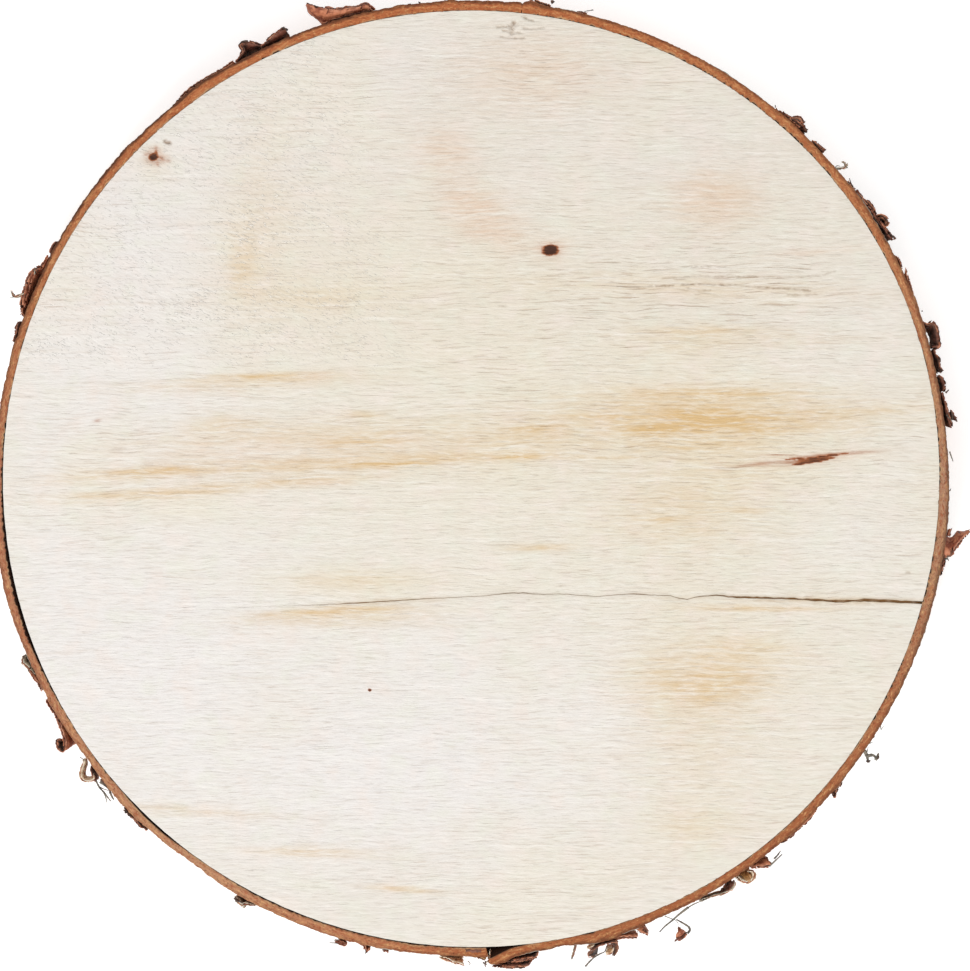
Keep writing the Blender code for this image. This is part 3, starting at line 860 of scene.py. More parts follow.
def buildWood():
    look, check = woodFace, dryingCheck
    rimLoop = woodRim()
    top, topFaces, topFirst = triangulated(*facePoints(
        rimLoop, look["rowGap"], look["dotGap"], check["line"][0][0], check["halfWidth"], finePatches))
    thin = [(x, 0.7 * half) for x, half in check["halfWidth"]]
    under, underFaces, underFirst = triangulated(*facePoints(
        rimLoop, look["underRowGap"], look["underDotGap"], check["underDepth"][0][0], thin, {}))

    vertices, hollowColourAndShade = [], []
    for x, y, part in top:
        z, dark = topPoint(x, y, part)
        vertices.append((x, y, z))
        hollowColourAndShade.append(dark)
    base = len(vertices)
    for x, y, part in under:
        vertices.append((x, y, along(check["underDepth"], x) if part == 2 else 0.0))
        # painted shade in the check's groove on the underside
        hollowColourAndShade.append(0.8 if part == 2 else 0.0)
    faces = [tuple(face) for face in topFaces]
    faces += [tuple(base + i for i in reversed(face)) for face in underFaces]

    # the side, between the two rims
    count = len(rimLoop)
    topRim = {first: i for i, first in enumerate(topFirst) if 0 <= first < count}
    underRim = {first: base + i for i, first in enumerate(underFirst) if 0 <= first < count}
    rings = [[topRim[i] for i in range(count)]]
    for share in (0.08, 0.35, 0.65, 0.92):
        ring = []
        for i, (x, y, part) in enumerate(rimLoop):
            high, low = vertices[topRim[i]][2], vertices[underRim[i]][2]
            swell = 1.0 + 0.0004 * hum(x / 6.0, y / 6.0, share * 4.0)
            vertices.append((x * swell, y * swell, high + (low - high) * share))
            # painted shade where the check runs down the side
            hollowColourAndShade.append(0.5 if part else 0.0)
            ring.append(len(vertices) - 1)
        rings.append(ring)
    rings.append([underRim[i] for i in range(count)])
    for above, below in zip(rings, rings[1:]):
        for i in range(count):
            j = (i + 1) % count
            faces.append((above[i], below[i], below[j], above[j]))

    mesh = bpy.data.meshes.new("woodSlice")
    mesh.from_pydata([(x * mm, y * mm, z * mm) for x, y, z in vertices], [], faces)
    mesh.validate()
    mesh.shade_smooth()
    mesh.set_sharp_from_angle(angle=math.radians(50))
    paintWood(mesh, vertices, hollowColourAndShade)
    piece = addPiece("woodSlice", mesh, [sawnBirch])
    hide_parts("wood_disc")
    print("wood: %d faces" % len(mesh.polygons))


buildWood()


bark = {
    "step": 0.22,
    "acrossRows": 9,
    "outerRows": 18,
    "innerHeights": (0.4, 1.4, 4.0, 9.5, 12.5, 20.0, 24.3),
    "ragged": 0.24,
    "chip": 0.55,
}

barkLengths = {
    # piece: node, first and last angle
    "barkLeft": ("bark_left", 83.82, 272.02),
    "barkRight": ("bark_right", 272.05, 443.80),
}

# Colour of the sawn bark round the rim, as angle, red, green and blue, and how dark its outer skin shows.
barkTones = [(0, 0.400, 0.215, 0.130), (10, 0.410, 0.200, 0.105), (30, 0.440, 0.168, 0.068),
             (60, 0.440, 0.152, 0.056), (85, 0.440, 0.134, 0.046), (120, 0.440, 0.140, 0.050),
             (160, 0.400, 0.150, 0.062), (180, 0.400, 0.165, 0.090), (205, 0.430, 0.185, 0.100),
             (215, 0.450, 0.215, 0.115), (235, 0.470, 0.240, 0.135), (262, 0.430, 0.158, 0.070),
             (272, 0.360, 0.112, 0.040), (285, 0.365, 0.122, 0.046), (315, 0.350, 0.118, 0.046),
             (330, 0.375, 0.140, 0.060), (345, 0.400, 0.195, 0.105)]
skinTones = [(0, 0.75), (25, 0.60), (40, 0.45), (60, 0.50), (85, 0.70), (100, 0.70), (118, 0.90),
             (150, 0.95), (165, 0.60), (200, 0.40), (230, 0.25), (262, 0.40), (285, 0.70), (300, 0.55),
             (340, 0.60)]

# Small dark notches along the inside of the bark: first and last angle, how many to a degree, and depth.
notchRuns = [(-1, 8, 1.6, 0.45), (8, 27, 1.2, 0.30), (28, 42, 1.7, 0.45), (42, 60, 1.7, 0.55),
             (60, 83, 1.3, 0.45), (114, 119, 0.8, 0.5), (160, 176, 0.8, 0.35), (176, 206, 1.8, 0.35),
             (206, 222, 1.2, 0.30), (240, 268, 1.6, 0.25), (300, 329, 0.8, 0.25), (329, 334, 2.0, 0.6),
             (334, 353, 1.4, 0.5), (353, 359, 1.0, 0.3), (84, 114, 0.8, 0.25), (119, 160, 0.9, 0.25)]

# How far the bark has shrunk away from the wood at the sawn face, by angle. Outside these angles it is tight.
shrinkage = [(168, 0.0), (177, 0.30), (184, 0.60), (190, 1.00), (194, 1.15), (200, 1.00), (205, 0.50),
             (208, 0.12), (218, 0.06), (222, 0.35), (226, 0.80), (229, 0.80), (232, 0.32), (236, 0.16),
             (239, 0.28), (245, 0.40), (255, 0.40), (262, 0.35), (268, 0.32), (271.9, 0.30), (272.03, 3.8),
             (272.5, 3.6), (273.3, 2.6), (274.0, 1.8), (274.7, 1.15), (275.3, 0.7), (276.3, 0.4),
             (277.3, 0.15), (279, 0.05), (283.3, 0.05), (284.3, 0.35), (285.1, 0.60), (285.35, 0.05),
             (287, 0.0)]

# The bark's own steps: angle, half width in degrees, how much thicker its outside is.
barkSwells = [(10.0, 16.0, -0.65), (83.0, 2.6, 0.9), (92.6, 1.6, 0.3), (98.5, 1.5, 0.3), (124.0, 5.0, 0.7),
              (136.5, 2.0, 0.4), (151.0, 1.6, 0.3), (164.0, 2.0, 0.3), (158.0, 20.0, -0.45),
              (189.0, 3.0, 0.45), (194.0, 5.0, 0.35), (216.0, 6.0, -0.45), (228.0, 3.0, -0.3),
              (234.0, 6.0, -0.7), (256.0, 8.0, 0.2), (290.0, 3.0, 0.5), (313.5, 4.0, 0.3), (36.0, 5.0, 0.4),
              (48.0, 4.0, 0.2), (22.0, 3.0, 0.3), (320.0, 2.0, 0.3)]


# At the bottom break one end of the bark has sprung outwards: outside radius by angle.
southBreak = [(260.0, 149.8), (264.0, 149.75), (268.0, 149.7), (270.0, 149.9), (271.0, 150.15),
              (271.6, 150.5), (272.03, 150.8), (272.04, 152.7), (273.0, 152.65), (274.0, 151.9),
              (274.6, 151.2), (275.3, 150.5), (276.0, 150.0), (277.0, 149.75), (278.0, 149.5),
              (279.3, 149.7), (281.0, 149.2), (282.7, 149.8), (284.0, 150.4), (285.3, 150.9),
              (286.7, 151.1), (288.0, 151.2), (290.0, 150.3)]


def swellAt(angle):
    total = 0.0
    for middle, half, height in barkSwells:
        away = (angle - middle + 180.0) % 360.0 - 180.0
        if abs(away) < half:
            total += height * (0.5 + 0.5 * math.cos(math.pi * away / half))
    return total


def notchAt(angle):
    wrapped = (angle + 5.0) % 360.0 - 5.0
    for first, last, often, deep in notchRuns:
        if first <= wrapped < last:
            beat = hum(wrapped * often * 1.5, 3.7) + 0.5 * hum(wrapped * often * 4.0, 9.7)
            return deep * smoothStep(-0.02, 0.30, beat)
    return 0.0


def insideAt(angle, down):
    # the bark sits on the wood except where it has shrunk away, at the sawn face
    wrapped = angle % 360.0
    tight = aroundRim(woodEdge, angle) - 0.12
    apart = along(shrinkage, wrapped) if shrinkage[0][0] < wrapped < shrinkage[-1][0] else 0.0
    notched = (0.12 * hum(angle / 0.7, 40.0) + notchAt(angle)) * (1.0 - smoothStep(0.2, 1.2, down))
    return tight + apart * (1.0 - smoothStep(0.5, 9.0, down)) + notched


def outsideAt(angle):
    rough = bark["ragged"] * (hum(angle / 0.9, 60.0) + 0.9 * hum(angle / 0.33, 61.0))
    wrapped = angle % 360.0
    swept = smoothStep(260.0, 264.0, wrapped) * (1.0 - smoothStep(287.0, 290.0, wrapped))
    plain = aroundRim(rimOutside, angle) + swellAt(angle)
    return plain + (along(southBreak, wrapped) - plain) * swept + rough


def barkSection(angle, toEnd):
    # one slice through the bark: radius, height, share of the way across, and painted shade from the gap
    # between bark and wood, full on the inner wall and fading across the sawn top
    arc = math.radians(angle) * 150.0
    inner, innerLow = insideAt(angle, 0.0), insideAt(angle, topFace)
    # the broken ends are splintered
    outer = outsideAt(angle) - 1.1 * math.exp(-toEnd / 0.25) * (0.8 + 0.5 * hum(angle * 3.0, 5.0))
    section = []
    across = [j / (bark["acrossRows"] - 1) for j in range(bark["acrossRows"])]
    for t in across:
        edge = math.exp(-(1.0 - t) * 9.0) + 0.6 * math.exp(-t * 9.0)
        z = topFace - 0.10 + 0.16 * hum(arc / 3.0, t * 4.0) + 0.10 * hum(arc / 0.8, t * 7.0, 2.0)
        z -= edge * bark["chip"] * (0.45 + 0.55 * hum(arc / 1.6, 9.0 + t))
        section.append((inner + (outer - inner) * t, z, t, 0.75 * math.exp(-t * 14.0)))
    for j in range(bark["outerRows"]):
        z = topFace * (1.0 - (j + 0.5) / bark["outerRows"])
        layer = 0.35 * smoothStep(-0.05, 0.05, hum(arc / 22.0, z / 7.0, 3.0))
        lump = 0.30 * hum(arc / 9.0, z / 5.0, 6.0) + 0.12 * hum(arc / 2.5, z / 0.9, 8.0)
        section.append((outer - 0.25 + layer + lump, z, 1.0, 0.0))
    for t in across:
        section.append((innerLow + (outer - innerLow) * (1.0 - t), 0.02, 1.0 - t, 0.0))
    for depth in reversed(bark["innerHeights"]):
        section.append((insideAt(angle, depth) + 0.1 * hum(arc / 2.0, depth), topFace - depth, 0.0, 1.0))
    return inner, section


def buildBark(name, node, first, last):
    count = int((last - first) / bark["step"])
    vertices, faces, sides = [], [], []
    layers = {label: [] for label in ("barkPlace", "barkTone", "across", "skinLine", "bare", "hollowColourAndShade")}
    for i in range(count + 1):
        angle = first + (last - first) * i / count
        toEnd = min(i, count - i) * bark["step"]
        inner, section = barkSection(angle, toEnd)
        arc = math.radians(angle) * 150.0
        tone = (*(aroundRim(barkTones, angle, column) for column in (1, 2, 3)), 1.0)
        skin = aroundRim(skinTones, angle)
        for radius, z, t, dark in section:
            # splinters run along the bark at its broken ends
            slip = math.exp(-toEnd / 0.25) * 0.25 * hum(z / 1.2, t * 3.0, first)
            turn = math.radians(angle) + math.radians(slip)
            vertices.append((radius * math.cos(turn) * mm, radius * math.sin(turn) * mm, z * mm))
            values = ((arc * mm, (radius - inner) * mm, z * mm), tone, t, skin,
                      smoothStep(-0.02, 0.10, hum(arc / 26.0, z / 9.0, 3.0)), dark)
            for label, value in zip(layers, values):
                layers[label].append(value)
    ringSize = len(section)
    outerFrom = bark["acrossRows"] - 1
    for i in range(count):
        for j in range(ringSize):
            k = (j + 1) % ringSize
            faces.append((i * ringSize + j, i * ringSize + k, (i + 1) * ringSize + k, (i + 1) * ringSize + j))
            sides.append(1 if outerFrom <= j < outerFrom + 1 + bark["outerRows"] else 0)
    # a fan of faces closes each broken end
    for base, turnOver in ((0, False), (count * ringSize, True)):
        middle = len(vertices)
        vertices.append(sum((Vector(vertices[base + j]) for j in range(ringSize)), Vector()) / ringSize)
        place = layers["barkPlace"][base + bark["acrossRows"] // 2]
        # the middle of each broken end takes a little painted shade too
        values = (place, layers["barkTone"][base], 0.5, 0.3, 0.0, 0.3)
        for label, value in zip(layers, values):
            layers[label].append(value)
        for j in range(ringSize):
            face = (base + j, middle, base + (j + 1) % ringSize)
            faces.append(face[::-1] if turnOver else face)
            sides.append(0)
    mesh = bpy.data.meshes.new(name)
    mesh.from_pydata(vertices, [], faces)
    mesh.polygons.foreach_set("material_index", sides)
    shape = bmesh.new()
    shape.from_mesh(mesh)
    bmesh.ops.recalc_face_normals(shape, faces=shape.faces)
    shape.to_mesh(mesh)
    shape.free()
    mesh.shade_smooth()
    mesh.set_sharp_from_angle(angle=math.radians(55))
    kinds = {"barkPlace": "FLOAT_VECTOR", "barkTone": "FLOAT_COLOR"}
    for label, values in layers.items():
        setValues(mesh, label, values, kinds.get(label, "FLOAT"))
    piece = addPiece(name, mesh, [sawnBark, outerBark])
    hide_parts(node)
    print("%s: %d faces" % (name, len(mesh.polygons)))


for name, (node, first, last) in barkLengths.items():
    buildBark(name, node, first, last)


# Each strip is a sheet between its upper edge and its foot, both as (angle, distance outside the bark) from
# above. top and low are the heights of the two, and the look is one of the peel finishes. A strip with a node
# stands for that piece of the part, and the others are smaller bits that the rim also carries.
peels = {
    "stripEastLow": {
        "node": "strip_east_low", "look": "dark", "top": 24.3, "low": 12.0, "thick": 0.45,
        "edge": [(6.1, 1.9), (6.9, 1.5), (8.0, 1.0), (9.2, 0.8), (10.4, 0.4)],
        "foot": [(6.4, 0.6), (7.1, 0.3), (8.2, 0.2), (9.3, 0.1), (10.4, 0.0)]},
    "curlEastLow": {
        "node": "curl_east_low", "look": "dark", "top": 23.5, "low": 18.0, "thick": 0.4,
        "edge": [(6.95, 3.7), (7.4, 3.3), (7.8, 2.7), (8.1, 2.3)],
        "foot": [(7.0, 2.8), (7.25, 1.8), (7.6, 1.4), (7.9, 1.7)]},
    "stripEastMid": {
        "node": "strip_east_mid", "look": "dark", "top": 23.8, "low": 10.0, "thick": 0.4,
        "edge": [(12.9, 1.9), (13.5, 1.3), (14.3, 1.7), (15.0, 1.1), (15.6, 1.0)],
        "foot": [(12.9, 0.7), (13.5, 0.4), (14.3, 0.4), (15.0, 0.2), (15.6, 0.1)]},
    "scrollEast": {
        "node": "scroll_east", "look": "dark", "top": 24.4, "low": 15.5, "thick": 0.5,
        "edge": [(15.7, 0.5), (15.85, 2.7), (16.7, 3.1), (17.6, 3.5), (18.4, 3.4), (18.8, 2.6), (18.8, 1.2),
                 (19.3, 0.2)],
        "foot": [(16.0, 0.2), (16.4, 1.0), (17.1, 1.5), (17.6, 1.4), (18.0, 1.3), (18.3, 1.0), (18.4, 0.5),
                 (18.9, 0.1)]},
    "sliverEast": {
        "node": "sliver_east", "look": "red", "top": 24.6, "low": 19.0, "thick": 0.35,
        "edge": [(22.6, 0.1), (23.8, 0.5), (24.8, 0.9), (25.8, 1.6)],
        "foot": [(22.6, -0.1), (23.8, 0.1), (24.8, 0.4), (25.5, 1.0)]},
    "stripNortheast": {
        "node": "strip_northeast", "look": "dark", "top": 24.2, "low": 6.0, "thick": 0.5,
        "edge": [(29.6, 2.9), (30.1, 2.2), (31.2, 1.9), (32.6, 1.3), (34.5, 1.1), (36.5, 1.0), (38.4, 0.7)],
        "foot": [(29.9, 1.6), (30.5, 0.9), (31.6, 0.6), (32.8, 0.4), (34.5, 0.3), (36.5, 0.2), (38.3, 0.0)]},
    "scrollNortheast": {
        "node": "scroll_northeast", "look": "red", "top": 23.6, "low": 13.0, "thick": 0.5,
        "edge": [(32.9, 1.6), (32.7, 2.9), (32.1, 3.9), (31.6, 3.6), (31.5, 2.6), (31.9, 2.0)],
        "foot": [(32.7, 1.5), (32.5, 2.1), (32.2, 2.6), (31.9, 2.4), (31.8, 2.1), (32.0, 1.9)]},
    "hookNortheast": {
        "node": "hook_northeast", "look": "grey", "top": 24.0, "low": 21.5, "thick": 0.35,
        "edge": [(40.3, 0.2), (40.1, 1.2), (39.8, 2.4), (39.9, 3.5), (40.3, 3.9), (40.6, 3.3)],
        "foot": [(40.4, 0.2), (40.3, 1.1), (40.0, 2.3), (40.0, 3.1), (40.2, 3.4), (40.4, 3.1)]},
    "flakeNortheast": {
        "node": "flake_northeast", "look": "dark", "top": 23.6, "low": 13.0, "thick": 0.45,
        "edge": [(42.8, 1.6), (43.4, 1.3), (44.2, 1.2), (44.8, 0.9)],
        "foot": [(42.9, 0.5), (43.4, 0.3), (44.2, 0.1), (44.8, 0.1)]},
    "flakeNortheastLow": {
        "node": "flake_northeast_low", "look": "dark", "top": 24.2, "low": 9.0, "thick": 0.45,
        "edge": [(45.9, 1.7), (46.8, 2.2), (47.8, 1.8), (49.0, 1.1), (50.6, 0.6)],
        "foot": [(46.3, 1.2), (47.0, 0.7), (47.9, 0.3), (49.0, 0.2), (50.5, 0.0)]},
    "flakeNortheastHigh": {
        "node": "flake_northeast_high", "look": "red", "top": 23.8, "low": 15.0, "thick": 0.4,
        "edge": [(46.9, 2.9), (47.7, 3.5), (48.2, 2.4), (48.8, 1.4)],
        "foot": [(47.6, 2.2), (48.0, 1.9), (48.4, 1.4), (48.8, 0.8)]},
    "layerNorth": {
        "node": "layer_north", "look": "red", "top": 24.7, "low": 4.0, "thick": 0.5,
        "edge": [(80.5, 0.3), (81.3, 0.7), (82.1, 1.1), (82.9, 1.7)],
        "foot": [(80.5, 0.0), (81.3, 0.2), (82.1, 0.5), (82.8, 1.0)]},
    "leafNorth": {
        "node": "leaf_north", "look": "red", "top": 24.6, "low": 17.0, "thick": 0.45,
        "edge": [(101.7, 0.6), (102.0, 1.7), (102.45, 3.0), (103.6, 2.6), (104.7, 3.1), (106.0, 3.6),
                 (106.8, 4.6), (107.9, 5.8), (108.5, 7.0), (109.05, 8.2)],
        "foot": [(101.7, 0.2), (102.6, 0.2), (103.6, 0.1), (104.8, 0.1), (106.0, 0.1), (107.2, 0.2),
                 (108.0, 0.6), (108.3, 2.2), (108.8, 4.2), (109.2, 5.9), (109.15, 7.7)]},
    "stripNorthwest": {
        "node": "strip_northwest", "look": "dark", "top": 24.2, "low": 12.0, "thick": 0.5,
        "edge": [(112.4, 3.5), (113.0, 3.2), (114.0, 2.7), (115.0, 1.9), (116.0, 1.2)],
        "foot": [(112.3, 1.6), (112.9, 0.6), (114.0, 0.3), (115.0, 0.2), (116.0, 0.1)]},
    "leafNorthwest": {
        "node": "leaf_northwest", "look": "dark", "top": 23.6, "low": 14.0, "thick": 0.45,
        "edge": [(115.7, 1.4), (116.6, 3.5), (117.5, 4.9), (118.1, 4.3), (117.9, 2.9), (118.6, 1.8),
                 (119.4, 1.0)],
        "foot": [(115.9, 0.9), (116.6, 1.2), (117.2, 1.4), (117.7, 1.3), (118.0, 1.0), (118.6, 0.7),
                 (119.4, 0.3)]},
    "layerNorthwest": {
        "node": "layer_northwest", "look": "red", "top": 24.3, "low": 3.0, "thick": 0.4,
        "edge": [(119.6, 1.0), (121.5, 0.8), (123.5, 1.1), (125.5, 1.2), (127.0, 0.9), (128.6, 0.3)],
        "foot": [(119.6, 0.2), (121.5, 0.1), (123.5, 0.6), (125.5, 0.7), (127.0, 0.4), (128.5, 0.0)]},
    "scrollWest": {
        "node": "scroll_west", "look": "red", "top": 24.2, "low": 8.0, "thick": 0.5,
        "edge": [(152.2, 0.6), (153.6, 1.0), (154.3, 2.4), (155.3, 3.2), (156.6, 3.0), (158.0, 2.4),
                 (159.2, 1.6), (160.0, 0.8)],
        "foot": [(152.3, 0.2), (153.7, 0.3), (154.5, 0.6), (155.4, 0.6), (156.6, 0.5), (158.0, 0.4),
                 (159.2, 0.2), (160.0, 0.0)]},
    "hookWest": {
        "node": "hook_west", "look": "grey", "top": 24.0, "low": 20.5, "thick": 0.35,
        "edge": [(157.4, 2.7), (157.9, 3.9), (158.2, 5.0), (157.7, 6.2)],
        "foot": [(157.6, 2.4), (158.1, 3.8), (158.2, 4.7), (157.9, 5.6)]},
    "flakeSouthwest": {
        "node": "flake_southwest", "look": "grey", "top": 24.0, "low": 11.0, "thick": 0.5,
        "edge": [(201.6, 1.5), (202.2, 2.5), (202.8, 1.8), (203.6, 1.3), (204.2, 0.7)],
        "foot": [(201.6, 0.7), (202.2, 0.4), (202.8, 0.3), (203.6, 0.2), (204.2, 0.0)]},
    "curlSouthwest": {
        "node": "curl_southwest", "look": "red", "top": 24.4, "low": 9.0, "thick": 0.5,
        "edge": [(207.5, 0.8), (208.5, 0.7), (210.0, 0.7), (211.6, 1.5), (212.8, 2.4), (213.4, 3.6),
                 (213.6, 4.7), (213.0, 5.0), (212.4, 4.3), (212.4, 3.2)],
        "foot": [(207.5, 0.1), (208.5, 0.0), (210.0, 0.0), (211.8, 0.1), (213.0, 0.3), (213.6, 0.9),
                 (213.7, 2.4), (213.4, 3.6), (213.0, 3.8), (212.8, 3.2)]},
    "loopSouthwest": {
        "node": "loop_southwest", "look": "cream", "top": 23.6, "low": 17.0, "thick": 0.3,
        "edge": [(215.8, 0.6), (216.2, 1.6), (216.5, 3.0), (217.1, 4.6), (217.8, 4.9), (218.3, 3.8),
                 (218.6, 2.2), (218.3, 1.0)],
        "foot": [(216.0, 0.4), (216.6, 1.4), (216.9, 2.6), (217.3, 3.6), (217.7, 3.8), (218.0, 3.0),
                 (218.1, 1.9), (217.8, 1.0)]},
    "flakeSouthSouthwest": {
        "node": "flake_south_southwest", "look": "grey", "top": 23.8, "low": 11.0, "thick": 0.45,
        "edge": [(240.5, 1.6), (241.2, 2.3), (242.1, 2.8), (241.8, 1.9), (242.6, 1.2), (243.3, 0.7)],
        "foot": [(240.8, 0.4), (241.3, 0.3), (241.8, 0.8), (241.9, 0.6), (242.6, 0.2), (243.3, 0.0)]},
    "flakeSouth": {
        "node": "flake_south", "look": "cream", "top": 24.0, "low": 10.0, "thick": 0.5,
        "edge": [(266.4, 0.2), (267.2, 0.9), (268.1, 1.6), (269.1, 1.9)],
        "foot": [(266.4, -0.1), (267.2, 0.0), (268.1, 0.2), (268.9, 0.4)]},
    "sheetSouthInner": {
        "node": "sheet_south_inner", "look": "dark", "top": 24.5, "low": 8.0, "thick": 0.5,
        "edge": [(274.2, 0.1), (275.3, 0.2), (276.3, 0.3), (277.3, 0.3), (277.9, 0.0), (278.15, -1.2)],
        "foot": [(274.3, -0.9), (275.3, -1.6), (276.2, -1.9), (277.0, -1.8), (277.7, -1.7), (278.1, -1.8)]},
    "sheetSouthOuter": {
        "node": "sheet_south_outer", "look": "dark", "top": 24.4, "low": 12.0, "thick": 0.5,
        "edge": [(272.6, 0.8), (274.0, 1.4), (275.0, 1.7), (276.0, 2.1), (276.8, 2.0), (277.2, 0.9)],
        "foot": [(272.9, 0.4), (274.0, 0.3), (275.0, 0.2), (276.0, 0.4), (276.8, 0.4), (277.2, 0.4)]},
    "layerSouthSoutheast": {
        "node": "layer_south_southeast", "look": "red", "top": 24.6, "low": 8.0, "thick": 0.5,
        "edge": [(287.3, 1.7), (288.3, 1.8), (289.2, 2.6), (289.95, 3.6)],
        "foot": [(287.3, 0.9), (288.4, 0.9), (289.2, 1.3), (289.9, 1.9)]},
    "scrollSouthSoutheast": {
        "node": "scroll_south_southeast", "look": "dark", "top": 24.2, "low": 14.0, "thick": 0.4, "layers": 2,
        "edge": [(284.2, 2.8), (284.7, 2.3), (285.3, 2.1), (286.0, 2.0), (286.8, 2.2), (287.5, 2.6)],
        "foot": [(284.8, 1.2), (285.3, 1.0), (285.8, 0.9), (286.3, 0.9), (286.8, 0.9), (287.3, 1.0)]},
    "scrollWestLobe": {
        "look": "red", "top": 24.2, "low": 18.0, "thick": 0.35, "layers": 2,
        "edge": [(283.85, 5.0), (283.8, 4.0), (284.0, 2.9), (284.4, 2.2)],
        "foot": [(284.8, 5.1), (284.95, 4.3), (285.1, 3.4), (285.1, 2.7)]},
    "scrollEastLobe": {
        "look": "red", "top": 24.2, "low": 17.0, "thick": 0.4, "layers": 2,
        "edge": [(287.4, 2.0), (287.5, 3.6), (287.25, 5.2), (286.9, 6.3)],
        "foot": [(286.8, 2.2), (286.7, 3.4), (286.6, 4.6), (286.6, 5.5)]},
    "scrollSoutheastPale": {
        "look": "cream", "top": 24.4, "low": 20.0, "thick": 0.3, "layers": 2,
        "edge": [(285.8, 5.3), (286.3, 5.6), (286.8, 4.9)],
        "foot": [(286.1, 3.2), (286.5, 3.1), (286.8, 3.3)]},
    "scrollSoutheastStrand": {
        "look": "cream", "top": 24.2, "low": 19.0, "thick": 0.3, "layers": 2,
        "edge": [(283.9, 2.3), (284.4, 1.8), (284.9, 1.2)],
        "foot": [(284.0, 1.6), (284.4, 1.1), (284.9, 0.7)]},
    "strandsSouth": {
        "look": "cream", "top": 24.5, "low": 14.0, "thick": 0.3,
        "edge": [(271.8, 0.0), (272.15, -1.2), (272.25, -2.5), (272.3, -3.8)],
        "foot": [(272.2, 0.1), (272.4, -1.1), (272.45, -2.5), (272.5, -3.8)]},
    "strandsSouthRed": {
        "look": "dark", "top": 25.5, "low": 24.9, "thick": 0.3, "layers": 1,
        "edge": [(269.4, -2.6), (270.3, -2.9), (271.2, -3.0)],
        "foot": [(269.4, -3.3), (270.3, -3.8), (271.2, -4.0)]},
    "stripSoutheast": {
        "node": "strip_southeast", "look": "grey", "top": 24.2, "low": 17.0, "thick": 0.35,
        "edge": [(298.5, 1.1), (300.0, 1.6), (301.1, 2.5), (302.0, 3.0), (302.8, 3.0), (303.3, 1.9)],
        "foot": [(298.5, 0.9), (300.0, 1.3), (301.2, 2.1), (302.0, 2.1), (302.4, 1.4), (302.8, 0.6)]},
    "stripSoutheastDark": {
        "look": "dark", "top": 23.8, "low": 15.0, "thick": 0.4,
        "edge": [(301.2, 2.3), (302.0, 2.5), (302.7, 2.3), (303.2, 1.4)],
        "foot": [(301.4, 2.0), (302.0, 1.7), (302.3, 0.9), (302.7, 0.2)]},
    "loopSoutheastInside": {
        "look": "amber", "top": 23.4, "low": 16.0, "thick": 0.4,
        "edge": [(304.3, 3.3), (304.8, 3.9), (305.4, 3.0)],
        "foot": [(304.2, 0.3), (304.8, 0.3), (305.5, 0.3)]},
    "loopSoutheast": {
        "node": "loop_southeast", "look": "cream", "top": 23.6, "low": 15.0, "thick": 0.45,
        "edge": [(303.7, 0.6), (303.9, 2.4), (304.4, 3.8), (305.0, 4.3), (305.6, 3.4), (305.8, 1.8),
                 (305.4, 0.8)],
        "foot": [(304.0, 0.5), (304.3, 1.8), (304.6, 2.6), (304.9, 2.8), (305.2, 2.3), (305.3, 1.4),
                 (305.1, 0.8)]},
    "flakeSoutheast": {
        "node": "flake_southeast", "look": "red", "top": 24.4, "low": 15.0, "thick": 0.45,
        "edge": [(305.9, 0.6), (306.7, 2.0), (307.4, 3.2), (307.9, 3.6), (308.1, 3.0)],
        "foot": [(306.1, 0.1), (306.9, 0.1), (307.5, 0.2), (307.8, 0.4), (308.0, 1.6)]},
    "flakeEastSoutheast": {
        "node": "flake_east_southeast", "look": "dark", "top": 23.8, "low": 12.0, "thick": 0.45,
        "edge": [(318.9, 1.4), (319.5, 1.0), (320.2, 0.7), (321.1, 0.4)],
        "foot": [(319.0, 0.4), (319.5, 0.2), (320.2, 0.1), (321.1, 0.0)]},
    "leafEast": {
        "node": "leaf_east", "look": "red", "top": 24.6, "low": 18.0, "thick": 0.4,
        "edge": [(350.7, 0.2), (350.85, 2.2), (351.5, 3.0), (352.0, 3.8), (352.7, 4.9), (353.3, 6.1),
                 (353.95, 7.5)],
        "foot": [(353.2, -0.1), (353.05, 1.2), (353.1, 2.6), (353.5, 3.5), (353.9, 4.2), (353.9, 5.6),
                 (354.1, 7.3)]},
    "leafEastTooth": {
        "look": "red", "top": 24.2, "low": 19.0, "thick": 0.4,
        "edge": [(353.0, 1.3), (353.5, 1.2), (354.1, 1.6)],
        "foot": [(353.1, -0.1), (353.6, -0.1), (353.95, 0.7)]},
    "leafEastFoot": {
        "look": "dark", "top": 24.4, "low": 10.0, "thick": 0.4,
        "edge": [(348.4, 0.2), (349.4, 0.7), (350.5, 0.8), (351.4, 0.6)],
        "foot": [(348.4, 0.0), (349.4, 0.2), (350.5, 0.2), (351.4, 0.1)]},
    "leafNorthUnder": {
        "look": "dark", "top": 23.0, "low": 10.0, "thick": 0.5,
        "edge": [(101.9, 1.0), (103.2, 1.3), (105.0, 1.2), (106.5, 1.1), (108.0, 0.8)],
        "foot": [(101.9, 0.0), (103.2, 0.0), (105.0, 0.0), (106.5, 0.0), (108.0, 0.0)]},
    "knobEast": {
        "look": "dark", "top": 23.4, "low": 15.0, "thick": 0.45,
        "edge": [(10.5, 1.1), (11.2, 1.6), (12.1, 1.3), (12.5, 0.6)],
        "foot": [(10.6, 0.2), (11.2, 0.4), (12.1, 0.2), (12.4, 0.1)]},
    "flakeNortheastDark": {
        "look": "dark", "top": 23.6, "low": 14.0, "thick": 0.45,
        "edge": [(33.2, 1.7), (34.0, 2.3), (34.9, 2.0), (35.6, 1.4)],
        "foot": [(33.3, 1.1), (34.0, 1.2), (34.9, 1.0), (35.6, 0.8)]},
    "flakeNorthSmall": {
        "look": "red", "top": 24.5, "low": 14.0, "thick": 0.4,
